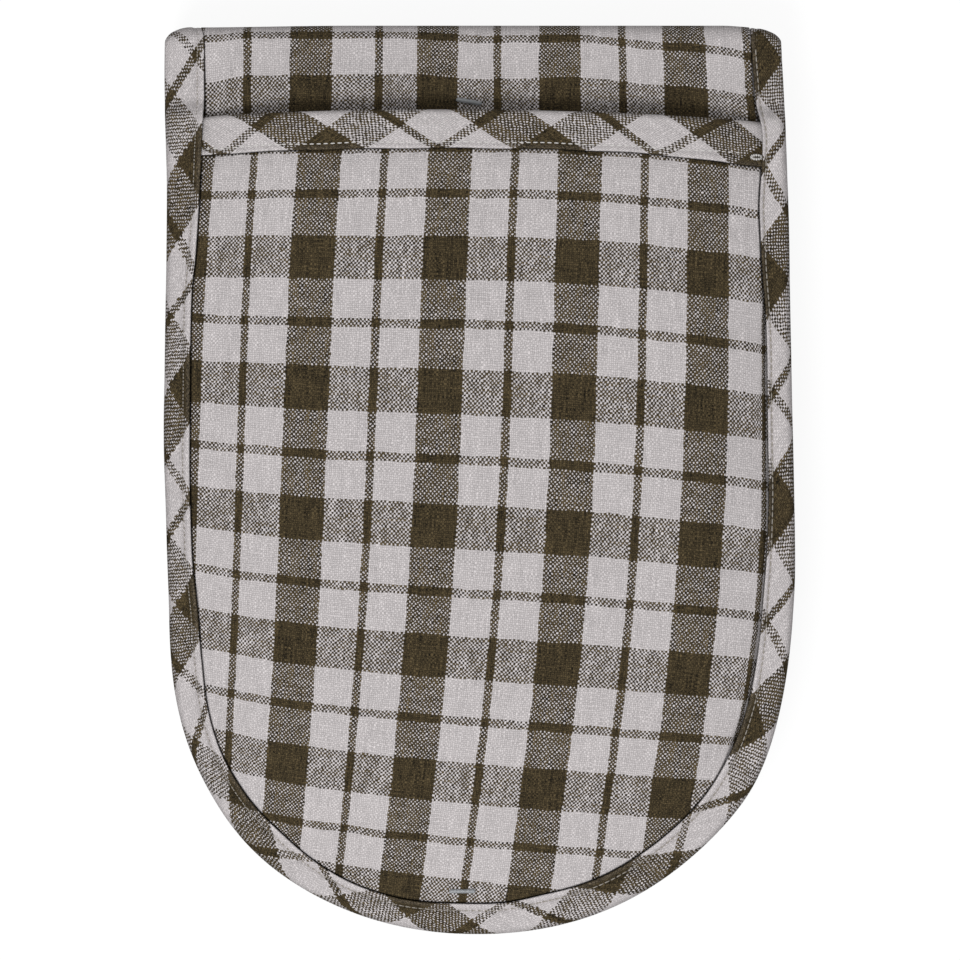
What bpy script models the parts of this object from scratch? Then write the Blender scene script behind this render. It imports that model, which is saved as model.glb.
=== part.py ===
"""Double oven glove, folded up for display, front pocket upwards.

One padded strip with a hand pocket at each end. From the top down it lies as front end, front half
of the centre, back half of the centre, back end, so that the strip turns round three folds. The
folded edge is at +Y, the round ends point to -Y, and the back pocket rests on the ground.

Every layer is modelled in its own frame: x and y are the glove's own, z is nought at the middle of
the padded strip, and the strip's face side, which carries the pockets, is at +z. The back end and
the front half of the centre lie face down, so their objects are turned over about Y.
"""

import math

import bmesh
import bpy
import numpy as np
from mathutils import Matrix

# Outline, seen from above
GLOVE_WIDTH = 0.180
FOLDED_LENGTH = 0.260
CENTRE_LENGTH = 0.164
END_DEPTH = 0.091
END_FULLNESS_share = 2.1
SIDE_BOW = 0.0015
WIDEST_FROM_FOLD = 0.127
MOUTH_FROM_FOLD = 0.0255

# Layers of the strip and of the pockets
CLOTH = 0.0006
LAYER_GAP = 0.0003
PAD_WADDING = 0.0034
POCKET_WADDING = 0.0022
PRESSED_WADDING = 0.0008
STACK_GAP = 0.0004
HAND_GAP = 0.0051

# Bindings, turned over the edges of the layers
BINDING_WIDTH = 0.0088
BINDING_CLOTH = 0.0009
BINDING_NOSE = 0.0024
EDGE_INSET = 0.0026
MOUTH_BINDING_WIDTH = 0.0109
MOUTH_BINDING_CLOTH = 0.0006
MOUTH_CORNER_RUN = 0.006

# How the soft forms rise and bend
SWELL_RUN = 0.006
RISE_RUN = 0.026
MIDDLE_INSET = 0.055
MOUTH_LIFT = 0.0003
FRONT_END_BEND = 0.0028
BACK_END_BEND = 0.0068

# Tag pins, a small bar on the face with a filament through the layers
TAG_BAR_LENGTH = 0.0075
TAG_BAR_DIAMETER = 0.0013
FILAMENT_DIAMETER = 0.0006
FILAMENT_CLEARANCE = 0.0003
TAG_FOOT_DIAMETER = 0.0014
TAG_FOOT_HEIGHT = 0.0006
UPPER_TAG_FROM_FOLD = 0.022
UPPER_TAG_X = -0.0016
UPPER_TAG_TURN = math.radians(-10)
LOWER_TAG_FROM_TIP = 0.0126
LOWER_TAG_X = -0.0039
CUTTER_OVERRUN = 0.002

# Fineness
MERGE = 0.00001
END_STEPS = 10
FOLD_STEPS = 8
NOSE_STEPS = 4
PIN_SIDES = 8
SHARP_ANGLE = math.radians(50)

HALF_WIDTH = GLOVE_WIDTH / 2
HALF_LENGTH = FOLDED_LENGTH / 2
END_Y = END_DEPTH - HALF_LENGTH
WIDEST_Y = HALF_LENGTH - WIDEST_FROM_FOLD
MOUTH_Y = HALF_LENGTH - MOUTH_FROM_FOLD

PAD = PAD_WADDING + 2 * (CLOTH + LAYER_GAP)
POCKET = POCKET_WADDING + 2 * (CLOTH + LAYER_GAP)
PRESSED = PRESSED_WADDING + 2 * (CLOTH + LAYER_GAP)
BINDING_OUT = PRESSED / 2 + LAYER_GAP + BINDING_CLOTH

# Heights above the middle of the strip, at the edge and where the hand goes
EDGE_LEVEL = PRESSED + LAYER_GAP
CORNER_LEVEL = EDGE_LEVEL + MOUTH_BINDING_CLOTH + LAYER_GAP
HAND_LEVEL = PAD / 2 + HAND_GAP + POCKET / 2
POCKET_TOP = HAND_LEVEL + POCKET / 2
POCKET_BINDING_OUT = EDGE_LEVEL + BINDING_OUT
CORNER_BINDING_OUT = CORNER_LEVEL + MOUTH_BINDING_CLOTH + LAYER_GAP + BINDING_OUT

# Middle of the strip in each of the four layers, from the ground, and the three fold axes
BACK_END_Z = POCKET_TOP
CENTRE_BACK_Z = BACK_END_Z + PAD + STACK_GAP
CENTRE_FRONT_Z = CENTRE_BACK_Z + PAD + STACK_GAP
FRONT_END_Z = CENTRE_FRONT_Z + PAD + STACK_GAP
FOLD_RADIUS = (PAD + STACK_GAP) / 2
FOLD_Y = HALF_LENGTH - FOLD_RADIUS - PAD / 2
INNER_FOLD_Y = HALF_LENGTH - CENTRE_LENGTH + FOLD_RADIUS + PAD / 2

CHECK = ("check_cloth", (0.30, 0.27, 0.24), 0.9)
BIAS = ("bias_check_cloth", (0.33, 0.30, 0.27), 0.9)
LINING = ("lining_cloth", (0.62, 0.58, 0.50), 0.9)
WADDING = ("wadding", (0.80, 0.79, 0.76), 1.0)
PLASTIC = ("clear_plastic", (0.30, 0.33, 0.35), 0.35)


def start_scene():
    """An empty scene with a collection for the glove and one for its cutters."""
    for old in list(bpy.data.objects):
        bpy.data.objects.remove(old)
    made = []
    for name in ("oven_glove", "cutters"):
        collection = bpy.data.collections.new(name)
        bpy.context.scene.collection.children.link(collection)
        made.append(collection)
    return made


def material(finish):
    name, colour, roughness = finish
    if name in bpy.data.materials:
        return bpy.data.materials[name]
    made = bpy.data.materials.new(name)
    made.use_nodes = True
    shader = made.node_tree.nodes["Principled BSDF"]
    shader.inputs["Base Color"].default_value = (*colour, 1)
    shader.inputs["Roughness"].default_value = roughness
    shader.inputs["Metallic"].default_value = 0
    return made


def body(name, parent, y, z):
    """An empty on the axis that the body turns about."""
    empty = bpy.data.objects.new(name + "_axis", None)
    glove.objects.link(empty)
    empty.parent = parent
    above = parent["place"] if parent else (0, 0, 0)
    empty["place"] = (0, y, z)
    empty.location = (0, y - above[1], z - above[2])
    return empty


def add(name, bm, finish, parent, at, face_down=False):
    """The mesh as a named object of its body, with its own frame's origin at the place given."""
    mesh = bpy.data.meshes.new(name)
    bm.to_mesh(mesh)
    bm.free()
    mesh.materials.append(material(finish))
    mesh.shade_smooth()
    mesh.set_sharp_from_angle(angle=SHARP_ANGLE)
    made = bpy.data.objects.new(name, mesh)
    glove.objects.link(made)
    made.parent = parent
    made.location = [place - axis for place, axis in zip(at, parent["place"])]
    if face_down:
        made.rotation_euler = (0, math.pi, 0)
    return made


def mirror_halves(piece):
    mirror = piece.modifiers.new("both_halves", "MIRROR")
    mirror.use_clip = True
    mirror.merge_threshold = MERGE


def thicken(piece, thickness):
    solid = piece.modifiers.new("thickness", "SOLIDIFY")
    solid.thickness = thickness
    solid.offset = 0
    return solid


def ramp(value, start, run):
    """0 up to start, 1 from a run further on, and straight between."""
    return np.clip((value - start) / run, 0, 1)


def half_width(y):
    """The sides bow out a little, from the fold to the widest line."""
    return HALF_WIDTH - SIDE_BOW * ramp(y, WIDEST_Y, WIDEST_FROM_FOLD) ** 2


def end_outline(straight_ys):
    """Half of an end's silhouette, its outward directions, and the points that its spokes leave from."""
    ys = np.array(straight_ys)
    turn = np.linspace(0, math.pi / 2, END_STEPS + 1)[1:]
    power = 2 / END_FULLNESS_share
    side = np.column_stack([half_width(ys), ys])
    round_x = HALF_WIDTH * np.cos(turn) ** power
    round_x[-1] = 0
    round_y = END_Y - END_DEPTH * np.sin(turn) ** power
    out_x = np.cos(turn) ** (2 - power) / HALF_WIDTH
    out_x[-1] = 0
    out_y = -np.sin(turn) ** (2 - power) / END_DEPTH
    out = np.column_stack([out_x, out_y])
    out /= np.linalg.norm(out, axis=1, keepdims=True)
    outline = np.vstack([side, np.column_stack([round_x, round_y])])
    outward = np.vstack([np.tile([1, 0], (len(ys), 1)), out])
    middle = np.vstack([np.column_stack([0 * ys, ys]), np.tile([0, END_Y], (END_STEPS, 1))])
    return outline, outward, middle


def fanned(straight_ys, insets):
    """A half layer's grid: on each row, points at the insets from the silhouette, then the middle."""
    outline, _, middle = end_outline(straight_ys)
    spoke = middle - outline
    length = np.linalg.norm(spoke, axis=1)
    shares = np.minimum(np.array(insets)[None, :] / length[:, None], 1)
    shares = np.column_stack([shares, np.ones(len(length))])
    points = outline[:, None, :] + shares[:, :, None] * spoke[:, None, :]
    return points[:, :, 0], points[:, :, 1], shares * length[:, None]


def bend(y, amount):
    """The round end bends towards the strip's backing, from its widest line to its tip."""
    return -amount * ramp(-y, -END_Y, END_DEPTH) ** 2


def swell(inset):
    """Share of its full thickness that the wadding has: pressed in the binding, full beyond it."""
    return ramp(inset, BINDING_WIDTH, SWELL_RUN)


def pad_half(inset):
    return PRESSED / 2 + (PAD - PRESSED) / 2 * swell(inset)


def near_mouth(y):
    """1 along the mouth binding, 0 further into the pocket."""
    return 1 - ramp(MOUTH_Y - y, MOUTH_BINDING_WIDTH, MOUTH_CORNER_RUN)


def pocket_level(inset, y, lift):
    """Height of the pocket's middle: low in the edge binding, and raised over the hand."""
    edge = EDGE_LEVEL + (CORNER_LEVEL - EDGE_LEVEL) * near_mouth(y)
    hand = HAND_LEVEL + lift * near_mouth(y)
    rise = np.sin(math.pi / 2 * ramp(inset, BINDING_WIDTH, RISE_RUN))
    return edge + (hand - edge) * rise


def pocket_swell(inset, y):
    return np.minimum(swell(inset), ramp(MOUTH_Y - y, MOUTH_BINDING_WIDTH, SWELL_RUN))


def pocket_half(inset, y):
    return PRESSED / 2 + (POCKET - PRESSED) / 2 * pocket_swell(inset, y)


def grid_mesh(x, y, z):
    """An open sheet through a grid of points, facing up; points that meet at the spokes' hub merge."""
    bm = bmesh.new()
    rows, columns = x.shape
    verts = [[bm.verts.new((x[i, j], y[i, j], z[i, j])) for j in range(columns)] for i in range(rows)]
    for i in range(rows - 1):
        for j in range(columns - 1):
            bm.faces.new((verts[i][j], verts[i][j + 1], verts[i + 1][j + 1], verts[i + 1][j]))
    bmesh.ops.remove_doubles(bm, verts=bm.verts, dist=MERGE)
    return bm


PAD_ROWS = [FOLD_Y - LAYER_GAP, (FOLD_Y + WIDEST_Y) / 2, WIDEST_Y, END_Y]
PAD_INSETS = [EDGE_INSET, BINDING_WIDTH, BINDING_WIDTH + SWELL_RUN, MIDDLE_INSET]
POCKET_ROWS = [
    MOUTH_Y - EDGE_INSET,
    MOUTH_Y - MOUTH_BINDING_WIDTH,
    MOUTH_Y - MOUTH_BINDING_WIDTH - MOUTH_CORNER_RUN,
    (MOUTH_Y + WIDEST_Y) / 2,
    WIDEST_Y,
    END_Y,
]
POCKET_INSETS = [
    EDGE_INSET,
    BINDING_WIDTH,
    BINDING_WIDTH + SWELL_RUN,
    BINDING_WIDTH + RISE_RUN / 2,
    BINDING_WIDTH + RISE_RUN,
    MIDDLE_INSET,
]


def wadding_weights(piece, weights):
    """Vertex weights that make Solidify thinner where the wadding is pressed."""
    group = piece.vertex_groups.new(name="full_thickness")
    for index, weight in enumerate(weights):
        group.add([index], float(weight), "REPLACE")


def add_wadding(name, x, y, z, weights, thickness, parent, at, face_down):
    piece = add(name, grid_mesh(x, y, z), WADDING, parent, at, face_down)
    known = {}
    for point, weight in zip(np.stack([x, y], axis=-1).reshape(-1, 2), weights.reshape(-1)):
        known[tuple(np.round(point / MERGE).astype(int))] = weight
    placed = []
    for vertex in piece.data.vertices:
        placed.append(known[tuple(np.round(np.array(vertex.co[:2]) / MERGE).astype(int))])
    wadding_weights(piece, placed)
    mirror_halves(piece)
    solid = thicken(piece, thickness)
    solid.vertex_group = "full_thickness"
    solid.thickness_vertex_group = PRESSED_WADDING / thickness
    return piece


def add_sheet(name, x, y, z, finish, parent, at, face_down):
    piece = add(name, grid_mesh(x, y, z), finish, parent, at, face_down)
    mirror_halves(piece)
    thicken(piece, CLOTH)
    return piece


def pad_of_end(end, parent, at, face_down, bend_amount):
    """Face cloth, wadding and backing cloth of the padded strip in one end."""
    x, y, inset = fanned(PAD_ROWS, PAD_INSETS)
    lift = bend(y, bend_amount)
    half = pad_half(inset)
    made = [
        add_sheet(end + "_pad_face", x, y, lift + half - CLOTH / 2, CHECK, parent, at, face_down),
        add_wadding(end + "_pad_wadding", x, y, lift, swell(inset), PAD_WADDING, parent, at, face_down),
        add_sheet(end + "_pad_backing", x, y, lift - half + CLOTH / 2, CHECK, parent, at, face_down),
    ]
    return made


def pocket_of_end(end, parent, at, face_down, bend_amount, mouth_lift):
    """Outer cloth, wadding and lining of the pocket, open at its mouth."""
    x, y, inset = fanned(POCKET_ROWS, POCKET_INSETS)
    level = bend(y, bend_amount) + pocket_level(inset, y, mouth_lift)
    half = pocket_half(inset, y)
    weights = pocket_swell(inset, y)
    made = [
        add_sheet(end + "_pocket_cloth", x, y, level + half - CLOTH / 2, CHECK, parent, at, face_down),
        add_wadding(end + "_pocket_wadding", x, y, level, weights, POCKET_WADDING, parent, at, face_down),
        add_sheet(end + "_pocket_lining", x, y, level - half + CLOTH / 2, LINING, parent, at, face_down),
    ]
    return made


def binding_section(width, bottom, top, cloth):
    """The U that a binding makes round an edge, as insets from the outer edge and heights."""
    turn = np.linspace(math.pi / 2, -math.pi / 2, NOSE_STEPS + 1)
    middle = (top + bottom) / 2
    reach = (top - bottom) / 2
    outer = np.column_stack([BINDING_NOSE * (1 - np.cos(turn)), middle + reach * np.sin(turn)])
    inner = np.column_stack(
        [BINDING_NOSE - (BINDING_NOSE - cloth) * np.cos(turn), middle + (reach - cloth) * np.sin(turn)]
    )
    lips = [[width, top], [width, bottom], [width, bottom + cloth], [width, top - cloth]]
    return np.vstack([lips[:1], outer, lips[1:3], inner[::-1], lips[3:]])


def loft(sections, open_end):
    """A skin through closed sections, capped at both ends, or left open at the last one."""
    bm = bmesh.new()
    rings = [[bm.verts.new(point) for point in section] for section in sections]
    count = len(rings[0])
    for one, other in zip(rings, rings[1:]):
        for k in range(count):
            bm.faces.new((one[k], one[(k + 1) % count], other[(k + 1) % count], other[k]))
    bm.faces.new(rings[0][::-1])
    if not open_end:
        bm.faces.new(rings[-1])
    return bm


def facing_out(bm):
    """A closed or mirror-open skin with its faces turned outwards."""
    bmesh.ops.recalc_face_normals(bm, faces=bm.faces)
    return bm


def edge_binding(end, parent, at, face_down, bend_amount):
    """One long binding: down a side, round the end and up again, thicker where it holds the pocket."""
    rows = [
        FOLD_Y - LAYER_GAP,
        MOUTH_Y + MOUTH_CORNER_RUN,
        MOUTH_Y + LAYER_GAP,
        MOUTH_Y - MOUTH_BINDING_WIDTH,
        MOUTH_Y - MOUTH_BINDING_WIDTH - MOUTH_CORNER_RUN,
        (MOUTH_Y + WIDEST_Y) / 2,
        WIDEST_Y,
        END_Y,
    ]
    outline, outward, _ = end_outline(rows)
    sections = []
    for (x, y), (out_x, out_y) in zip(outline, outward):
        below_mouth = 1 - ramp(y, MOUTH_Y + LAYER_GAP, MOUTH_CORNER_RUN - LAYER_GAP)
        beside = POCKET_BINDING_OUT + (CORNER_BINDING_OUT - POCKET_BINDING_OUT) * near_mouth(y)
        top = BINDING_OUT + (beside - BINDING_OUT) * below_mouth
        section = binding_section(BINDING_WIDTH, -BINDING_OUT, top, BINDING_CLOTH)
        points = []
        for inset, height in section:
            place_y = y - out_y * inset
            points.append((x - out_x * inset, place_y, height + bend(place_y, bend_amount)))
        sections.append(points)
    bm = facing_out(loft(sections, open_end=True))
    piece = add(end + "_edge_binding", bm, BIAS, parent, at, face_down)
    mirror_halves(piece)
    return piece


def mouth_binding(end, parent, at, face_down, mouth_lift):
    """The binding over the pocket's mouth, from under one side of the edge binding to the other."""
    reach = PRESSED / 2 + LAYER_GAP + MOUTH_BINDING_CLOTH
    width = MOUTH_BINDING_WIDTH
    section = binding_section(width, -reach, reach, MOUTH_BINDING_CLOTH)
    mouth_half_width = half_width(MOUTH_Y)
    sections = []
    for inset in [*POCKET_INSETS, mouth_half_width]:
        level = float(pocket_level(inset, MOUTH_Y, mouth_lift))
        x = mouth_half_width - inset
        sections.append([(x, MOUTH_Y - along, level + height) for along, height in section])
    bm = facing_out(loft(sections, open_end=True))
    piece = add(end + "_mouth_binding", bm, BIAS, parent, at, face_down)
    mirror_halves(piece)
    return piece


STRIP_HALF_WIDTH = float(half_width(HALF_LENGTH))
BINDING_PROFILE = binding_section(BINDING_WIDTH, -BINDING_OUT, BINDING_OUT, BINDING_CLOTH)


def across(bottom, top):
    """Section of a layer across the strip: its lower and upper height at each inset, both sides."""
    insets = np.array(PAD_INSETS[:3])
    xs = STRIP_HALF_WIDTH - insets
    low = bottom(insets)
    high = top(insets)
    upper = [*zip(-xs, high), *zip(xs[::-1], high[::-1])]
    lower = [*zip(xs, low), *zip(-xs[::-1], low[::-1])]
    return upper + lower


def strip_sections():
    """The five pieces that the strip has in section, with their finishes."""

    def wadding_half(inset):
        return pad_half(inset) - CLOTH - LAYER_GAP

    right = [(STRIP_HALF_WIDTH - inset, height) for inset, height in BINDING_PROFILE]
    left = [(-x, height) for x, height in right]
    return {
        "face": (across(lambda inset: pad_half(inset) - CLOTH, pad_half), CHECK),
        "wadding": (across(lambda inset: -wadding_half(inset), wadding_half), WADDING),
        "backing": (across(lambda inset: -pad_half(inset), lambda inset: CLOTH - pad_half(inset)), CHECK),
        "left_binding": (left, BIAS),
        "right_binding": (right, BIAS),
    }


def profile_face(points):
    bm = bmesh.new()
    verts = [bm.verts.new(point) for point in points]
    bm.faces.new(verts)
    return bm


def centre_half(name, parent, at, face_down):
    """A flat stretch of the strip between two folds: its sections drawn out along the glove."""
    start = INNER_FOLD_Y + LAYER_GAP
    length = FOLD_Y - LAYER_GAP - start
    for piece, (section, finish) in strip_sections().items():
        bm = profile_face([(x, start, height) for x, height in section])
        drawn = bmesh.ops.extrude_face_region(bm, geom=bm.faces[:])["geom"]
        moved = [part for part in drawn if isinstance(part, bmesh.types.BMVert)]
        bmesh.ops.translate(bm, verts=moved, vec=(0, length, 0))
        add(f"{name}_{piece}", facing_out(bm), finish, parent, at, face_down)


def fold(name, parent, at, face_outside):
    """Half a turn of the strip about the fold's axis, with the cloth named on the outside."""
    side = 1 if face_outside else -1
    for piece, (section, finish) in strip_sections().items():
        bm = profile_face([(x, 0, -FOLD_RADIUS - side * height) for x, height in section])
        bmesh.ops.spin(
            bm,
            geom=bm.verts[:] + bm.edges[:] + bm.faces[:],
            cent=(0, 0, 0),
            axis=(1, 0, 0),
            angle=side * math.pi,
            steps=FOLD_STEPS,
        )
        add(f"{name}_{piece}", facing_out(bm), finish, parent, at)


def cylinder(diameter, length, centre, turn=None):
    """A cylinder upright about its centre, or turned by the matrix given."""
    bm = bmesh.new()
    place = Matrix.Translation(centre)
    if turn:
        place = place @ turn
    bmesh.ops.create_cone(
        bm,
        cap_ends=True,
        segments=PIN_SIDES,
        radius1=diameter / 2,
        radius2=diameter / 2,
        depth=length,
        matrix=place,
    )
    return bm


def join_cylinder(piece, other):
    union = piece.modifiers.new("joined", "BOOLEAN")
    union.operation = "UNION"
    union.object = other


def cutter(name, bm, parent, at):
    """A helper shape, kept out of the glove."""
    helper = add(name, bm, PLASTIC, parent, at)
    glove.objects.unlink(helper)
    cutters.objects.link(helper)
    helper.hide_render = True
    helper.display_type = "WIRE"
    return helper


def tag_pin(name, parent, at, x, y, turn, seat, end, pierced, has_foot):
    """A bar on the cloth at the seat's height, and a filament down through the layers to its end.

    The foot on the filament's end holds it behind the layers, where there is room for one.
    """
    centre = seat + LAYER_GAP + TAG_BAR_DIAMETER / 2
    height = centre - end
    middle = (x, y, centre - height / 2)
    along_x = Matrix.Rotation(turn, 4, "Z") @ Matrix.Rotation(math.pi / 2, 4, "Y")
    bar = cylinder(TAG_BAR_DIAMETER, TAG_BAR_LENGTH, (x, y, centre), along_x)
    piece = add(name, bar, PLASTIC, parent, at)
    filament = cylinder(FILAMENT_DIAMETER, height, middle)
    join_cylinder(piece, cutter(name + "_filament", filament, parent, at))
    if has_foot:
        foot = cylinder(TAG_FOOT_DIAMETER, TAG_FOOT_HEIGHT, (x, y, end + TAG_FOOT_HEIGHT / 2))
        join_cylinder(piece, cutter(name + "_foot", foot, parent, at))
    hole_diameter = FILAMENT_DIAMETER + 2 * FILAMENT_CLEARANCE
    hole = cylinder(hole_diameter, height + 2 * CUTTER_OVERRUN, middle)
    hole_cutter = cutter(name + "_hole", hole, parent, at)
    for layer in pierced:
        cut = layer.modifiers.new("pin_hole", "BOOLEAN")
        cut.operation = "DIFFERENCE"
        cut.object = hole_cutter


glove, cutters = start_scene()

back_end = body("back_end", None, 0, 0)
centre_back = body("centre_back", back_end, FOLD_Y, (BACK_END_Z + CENTRE_BACK_Z) / 2)
centre_front = body("centre_front", centre_back, INNER_FOLD_Y, (CENTRE_BACK_Z + CENTRE_FRONT_Z) / 2)
front_end = body("front_end", centre_front, FOLD_Y, (CENTRE_FRONT_Z + FRONT_END_Z) / 2)

back_at = (0, 0, BACK_END_Z)
pad_of_end("back", back_end, back_at, True, BACK_END_BEND)
pocket_of_end("back", back_end, back_at, True, BACK_END_BEND, -MOUTH_LIFT)
edge_binding("back", back_end, back_at, True, BACK_END_BEND)
mouth_binding("back", back_end, back_at, True, -MOUTH_LIFT)

centre_half("centre_back", centre_back, (0, 0, CENTRE_BACK_Z), False)
centre_half("centre_front", centre_front, (0, 0, CENTRE_FRONT_Z), True)

front_at = (0, 0, FRONT_END_Z)
front_pad = pad_of_end("front", front_end, front_at, False, FRONT_END_BEND)
front_pocket = pocket_of_end("front", front_end, front_at, False, FRONT_END_BEND, MOUTH_LIFT)
edge_binding("front", front_end, front_at, False, FRONT_END_BEND)
mouth_binding("front", front_end, front_at, False, MOUTH_LIFT)

fold("back_fold", centre_back, centre_back["place"], True)
fold("middle_fold", centre_front, centre_front["place"], False)
fold("front_fold", front_end, front_end["place"], True)

upper_y = HALF_LENGTH - UPPER_TAG_FROM_FOLD
tag_pin(
    "tag_pin_top",
    front_end,
    front_at,
    UPPER_TAG_X,
    upper_y,
    UPPER_TAG_TURN,
    PAD / 2,
    -PAD / 2,
    front_pad,
    has_foot=False,
)

lower_y = LOWER_TAG_FROM_TIP - HALF_LENGTH
lower_bend = float(bend(lower_y, FRONT_END_BEND))
lower_level = pocket_level(LOWER_TAG_FROM_TIP, lower_y, MOUTH_LIFT)
tag_pin(
    "tag_pin_bottom",
    front_end,
    front_at,
    LOWER_TAG_X,
    lower_y,
    0,
    lower_bend + float(lower_level + pocket_half(LOWER_TAG_FROM_TIP, lower_y)),
    lower_bend - PAD / 2 - LAYER_GAP - TAG_FOOT_HEIGHT,
    front_pad + front_pocket,
    has_foot=True,
)
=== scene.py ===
import math

import bmesh
import bpy
import numpy as np
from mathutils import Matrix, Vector


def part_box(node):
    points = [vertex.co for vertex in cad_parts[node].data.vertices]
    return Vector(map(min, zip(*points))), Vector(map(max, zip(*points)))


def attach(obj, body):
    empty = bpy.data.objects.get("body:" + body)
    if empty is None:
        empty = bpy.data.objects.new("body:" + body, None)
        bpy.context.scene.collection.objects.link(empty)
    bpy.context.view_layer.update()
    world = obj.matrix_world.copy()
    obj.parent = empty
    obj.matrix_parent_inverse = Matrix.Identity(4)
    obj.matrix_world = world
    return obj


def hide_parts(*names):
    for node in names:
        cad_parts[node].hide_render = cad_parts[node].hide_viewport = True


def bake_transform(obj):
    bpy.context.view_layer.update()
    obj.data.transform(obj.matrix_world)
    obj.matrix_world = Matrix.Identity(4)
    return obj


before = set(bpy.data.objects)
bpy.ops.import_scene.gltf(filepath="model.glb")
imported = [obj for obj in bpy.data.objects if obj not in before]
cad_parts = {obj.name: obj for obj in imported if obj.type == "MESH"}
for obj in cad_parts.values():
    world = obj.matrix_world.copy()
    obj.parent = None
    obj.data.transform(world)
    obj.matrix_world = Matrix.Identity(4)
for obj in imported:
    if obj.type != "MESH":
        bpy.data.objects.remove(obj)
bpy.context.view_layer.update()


# Face cloth of the padded strip: cotton plain weave in a check, from yarn that was dyed before it was
# woven. It is cut in one length with two round ends, and lies on the wadding from the front end, over
# three folds, to the back end.

HALF_WIDTH = 0.090
FOLD_Y = 0.1246
INNER_FOLD_Y = -0.0286
FOLD_RADIUS = 0.0028
END_Y = -0.039
END_DEPTH = 0.091
END_FULLNESS = 2.1
SIDE_BOW = 0.0015
WIDEST_Y = 0.003
WIDEST_RUN = 0.127

# A flat stretch of the strip: height of its middle, 1 if its face cloth is on top, and how far its
# round end bends towards the backing.
STRETCHES = {
    "front": (0.0285, 1, 0.0028),
    "centre_front": (0.0229, -1, 0.0),
    "centre_back": (0.0173, 1, 0.0),
    "back": (0.0117, -1, 0.0068),
}
BODIES = {
    "front": "front_end",
    "centre_front": "centre_front",
    "centre_back": "centre_back",
    "back": "back_end",
}
ENDS = ("front", "back")

# A fold: place of its axis, the way it bulges along Y, 1 if the face cloth is outside, and the
# stretches below and above it.
FOLDS = {
    "front_fold": (FOLD_Y, 0.0257, 1, 1, "centre_front", "front"),
    "middle_fold": (INNER_FOLD_Y, 0.0201, -1, -1, "centre_back", "centre_front"),
    "back_fold": (FOLD_Y, 0.0145, 1, 1, "back", "centre_back"),
}

CLOTH = 0.0005
LAYER_GAP = 0.0003
PRESSED_HALF = 0.0013
PAD_HALF = 0.0026
SWELL_RUN = 0.0045
FOLD_SWELL_RUN = 0.0005
EDGE_INSET = 0.0026
BINDING_WIDTH = 0.0088
SIDE_WAY = FOLD_Y - END_Y
ROUND_WAY = 0.2843
WHOLE_WAY = 2 * SIDE_WAY + ROUND_WAY


def ramp(value, start, run):
    """0 up to start, 1 from a run further on, straight between."""
    return np.clip((value - start) / run, 0, 1)


def eased(share):
    """Three times the square less twice the cube, so that it is level at 0 and at 1."""
    return share * share * (3 - 2 * share)


def bump(value, centre, spread):
    """The bell curve e to the minus ((value - centre) / spread) squared."""
    return np.exp(-(((value - centre) / spread) ** 2))


def half_width(y):
    """Half the glove's width: full at its widest line, less by the square of the way to the fold."""
    return HALF_WIDTH - SIDE_BOW * ramp(y, WIDEST_Y, WIDEST_RUN) ** 2


def round_reach(turn):
    """From the round end's centre to its outline: the superellipse in polar form."""
    across = (np.abs(np.cos(turn)) / HALF_WIDTH) ** END_FULLNESS
    along = (np.abs(np.sin(turn)) / END_DEPTH) ** END_FULLNESS
    return (across + along) ** (-1 / END_FULLNESS)


def from_edge(x, y):
    """Inset from the outline, and the way along it: from the fold's left, round the tip, to its right."""
    below = np.maximum(END_Y - y, 0)
    turn = np.arctan2(below, -x)
    straight = y >= END_Y
    inset = np.where(straight, half_width(y) - np.abs(x), round_reach(turn) - np.hypot(x, below))
    side = np.where(x < 0, FOLD_Y - y, WHOLE_WAY - FOLD_Y + y)
    return inset, np.where(straight, side, SIDE_WAY + ROUND_WAY * turn / math.pi)


def edge_spot(way, inset):
    """The point at a way along the outline and an inset towards the middle: from_edge, undone."""
    turn = math.pi * np.clip((way - SIDE_WAY) / ROUND_WAY, 0, 1)
    left = way < SIDE_WAY
    straight = left | (way > SIDE_WAY + ROUND_WAY)
    side_y = FOLD_Y - np.where(left, way, WHOLE_WAY - way)
    side_x = np.where(left, -1, 1) * (half_width(side_y) - inset)
    reach = round_reach(turn) - inset
    x = np.where(straight, side_x, -reach * np.cos(turn))
    return x, np.where(straight, side_y, END_Y - reach * np.sin(turn))


def smoothed(stations, spread, places, values):
    """Values between places, taken at stations a millimetre apart and blurred by a bell curve."""
    kernel = bump(np.arange(-3 * spread, 3 * spread + 1), 0, spread)
    line = np.interp(np.pad(stations, 3 * spread, mode="edge"), places, values)
    return np.convolve(line, kernel / kernel.sum(), "valid")


# The glove lies a little askew: how far its left side, and then its right side, is shifted to the right,
# every 10 mm up from its tip, in millimetres.
LAID = np.array([
    [-0.9, -1.35, -1.9, -1.35, -0.46, -0.14, 0.35, 0.85, 1.31, 1.4, 1.06, 0.63, 0.44, 0.05,
     -0.28, -0.25, -0.05, 0.0, 0.07, 0.24, 0.16, 0.16, -0.08, -0.59, -1.12, -1.39, -1.34],
    [-0.3, -0.52, -0.6, 0.05, 0.9, 0.25, -0.59, -1.02, -1.04, -0.57, 0.21, 0.21, 0.05, -0.15,
     -0.36, -0.61, -0.75, -0.88, -1.03, -1.08, -1.06, -1.22, -1.51, -1.68, -1.85, -2.25, -2.49],
])  # fmt: skip
LAID_STATIONS = np.arange(-130, 131.0)
LAID_SHIFTS = [smoothed(LAID_STATIONS, 6, LAID_STATIONS[::10], side) / 1000 for side in LAID]


def bow(share):
    """The round end's superellipse: 1 at share 0, down to 0 at 1 or -1."""
    return (1 - np.abs(share) ** END_FULLNESS) ** (1 / END_FULLNESS)


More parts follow.
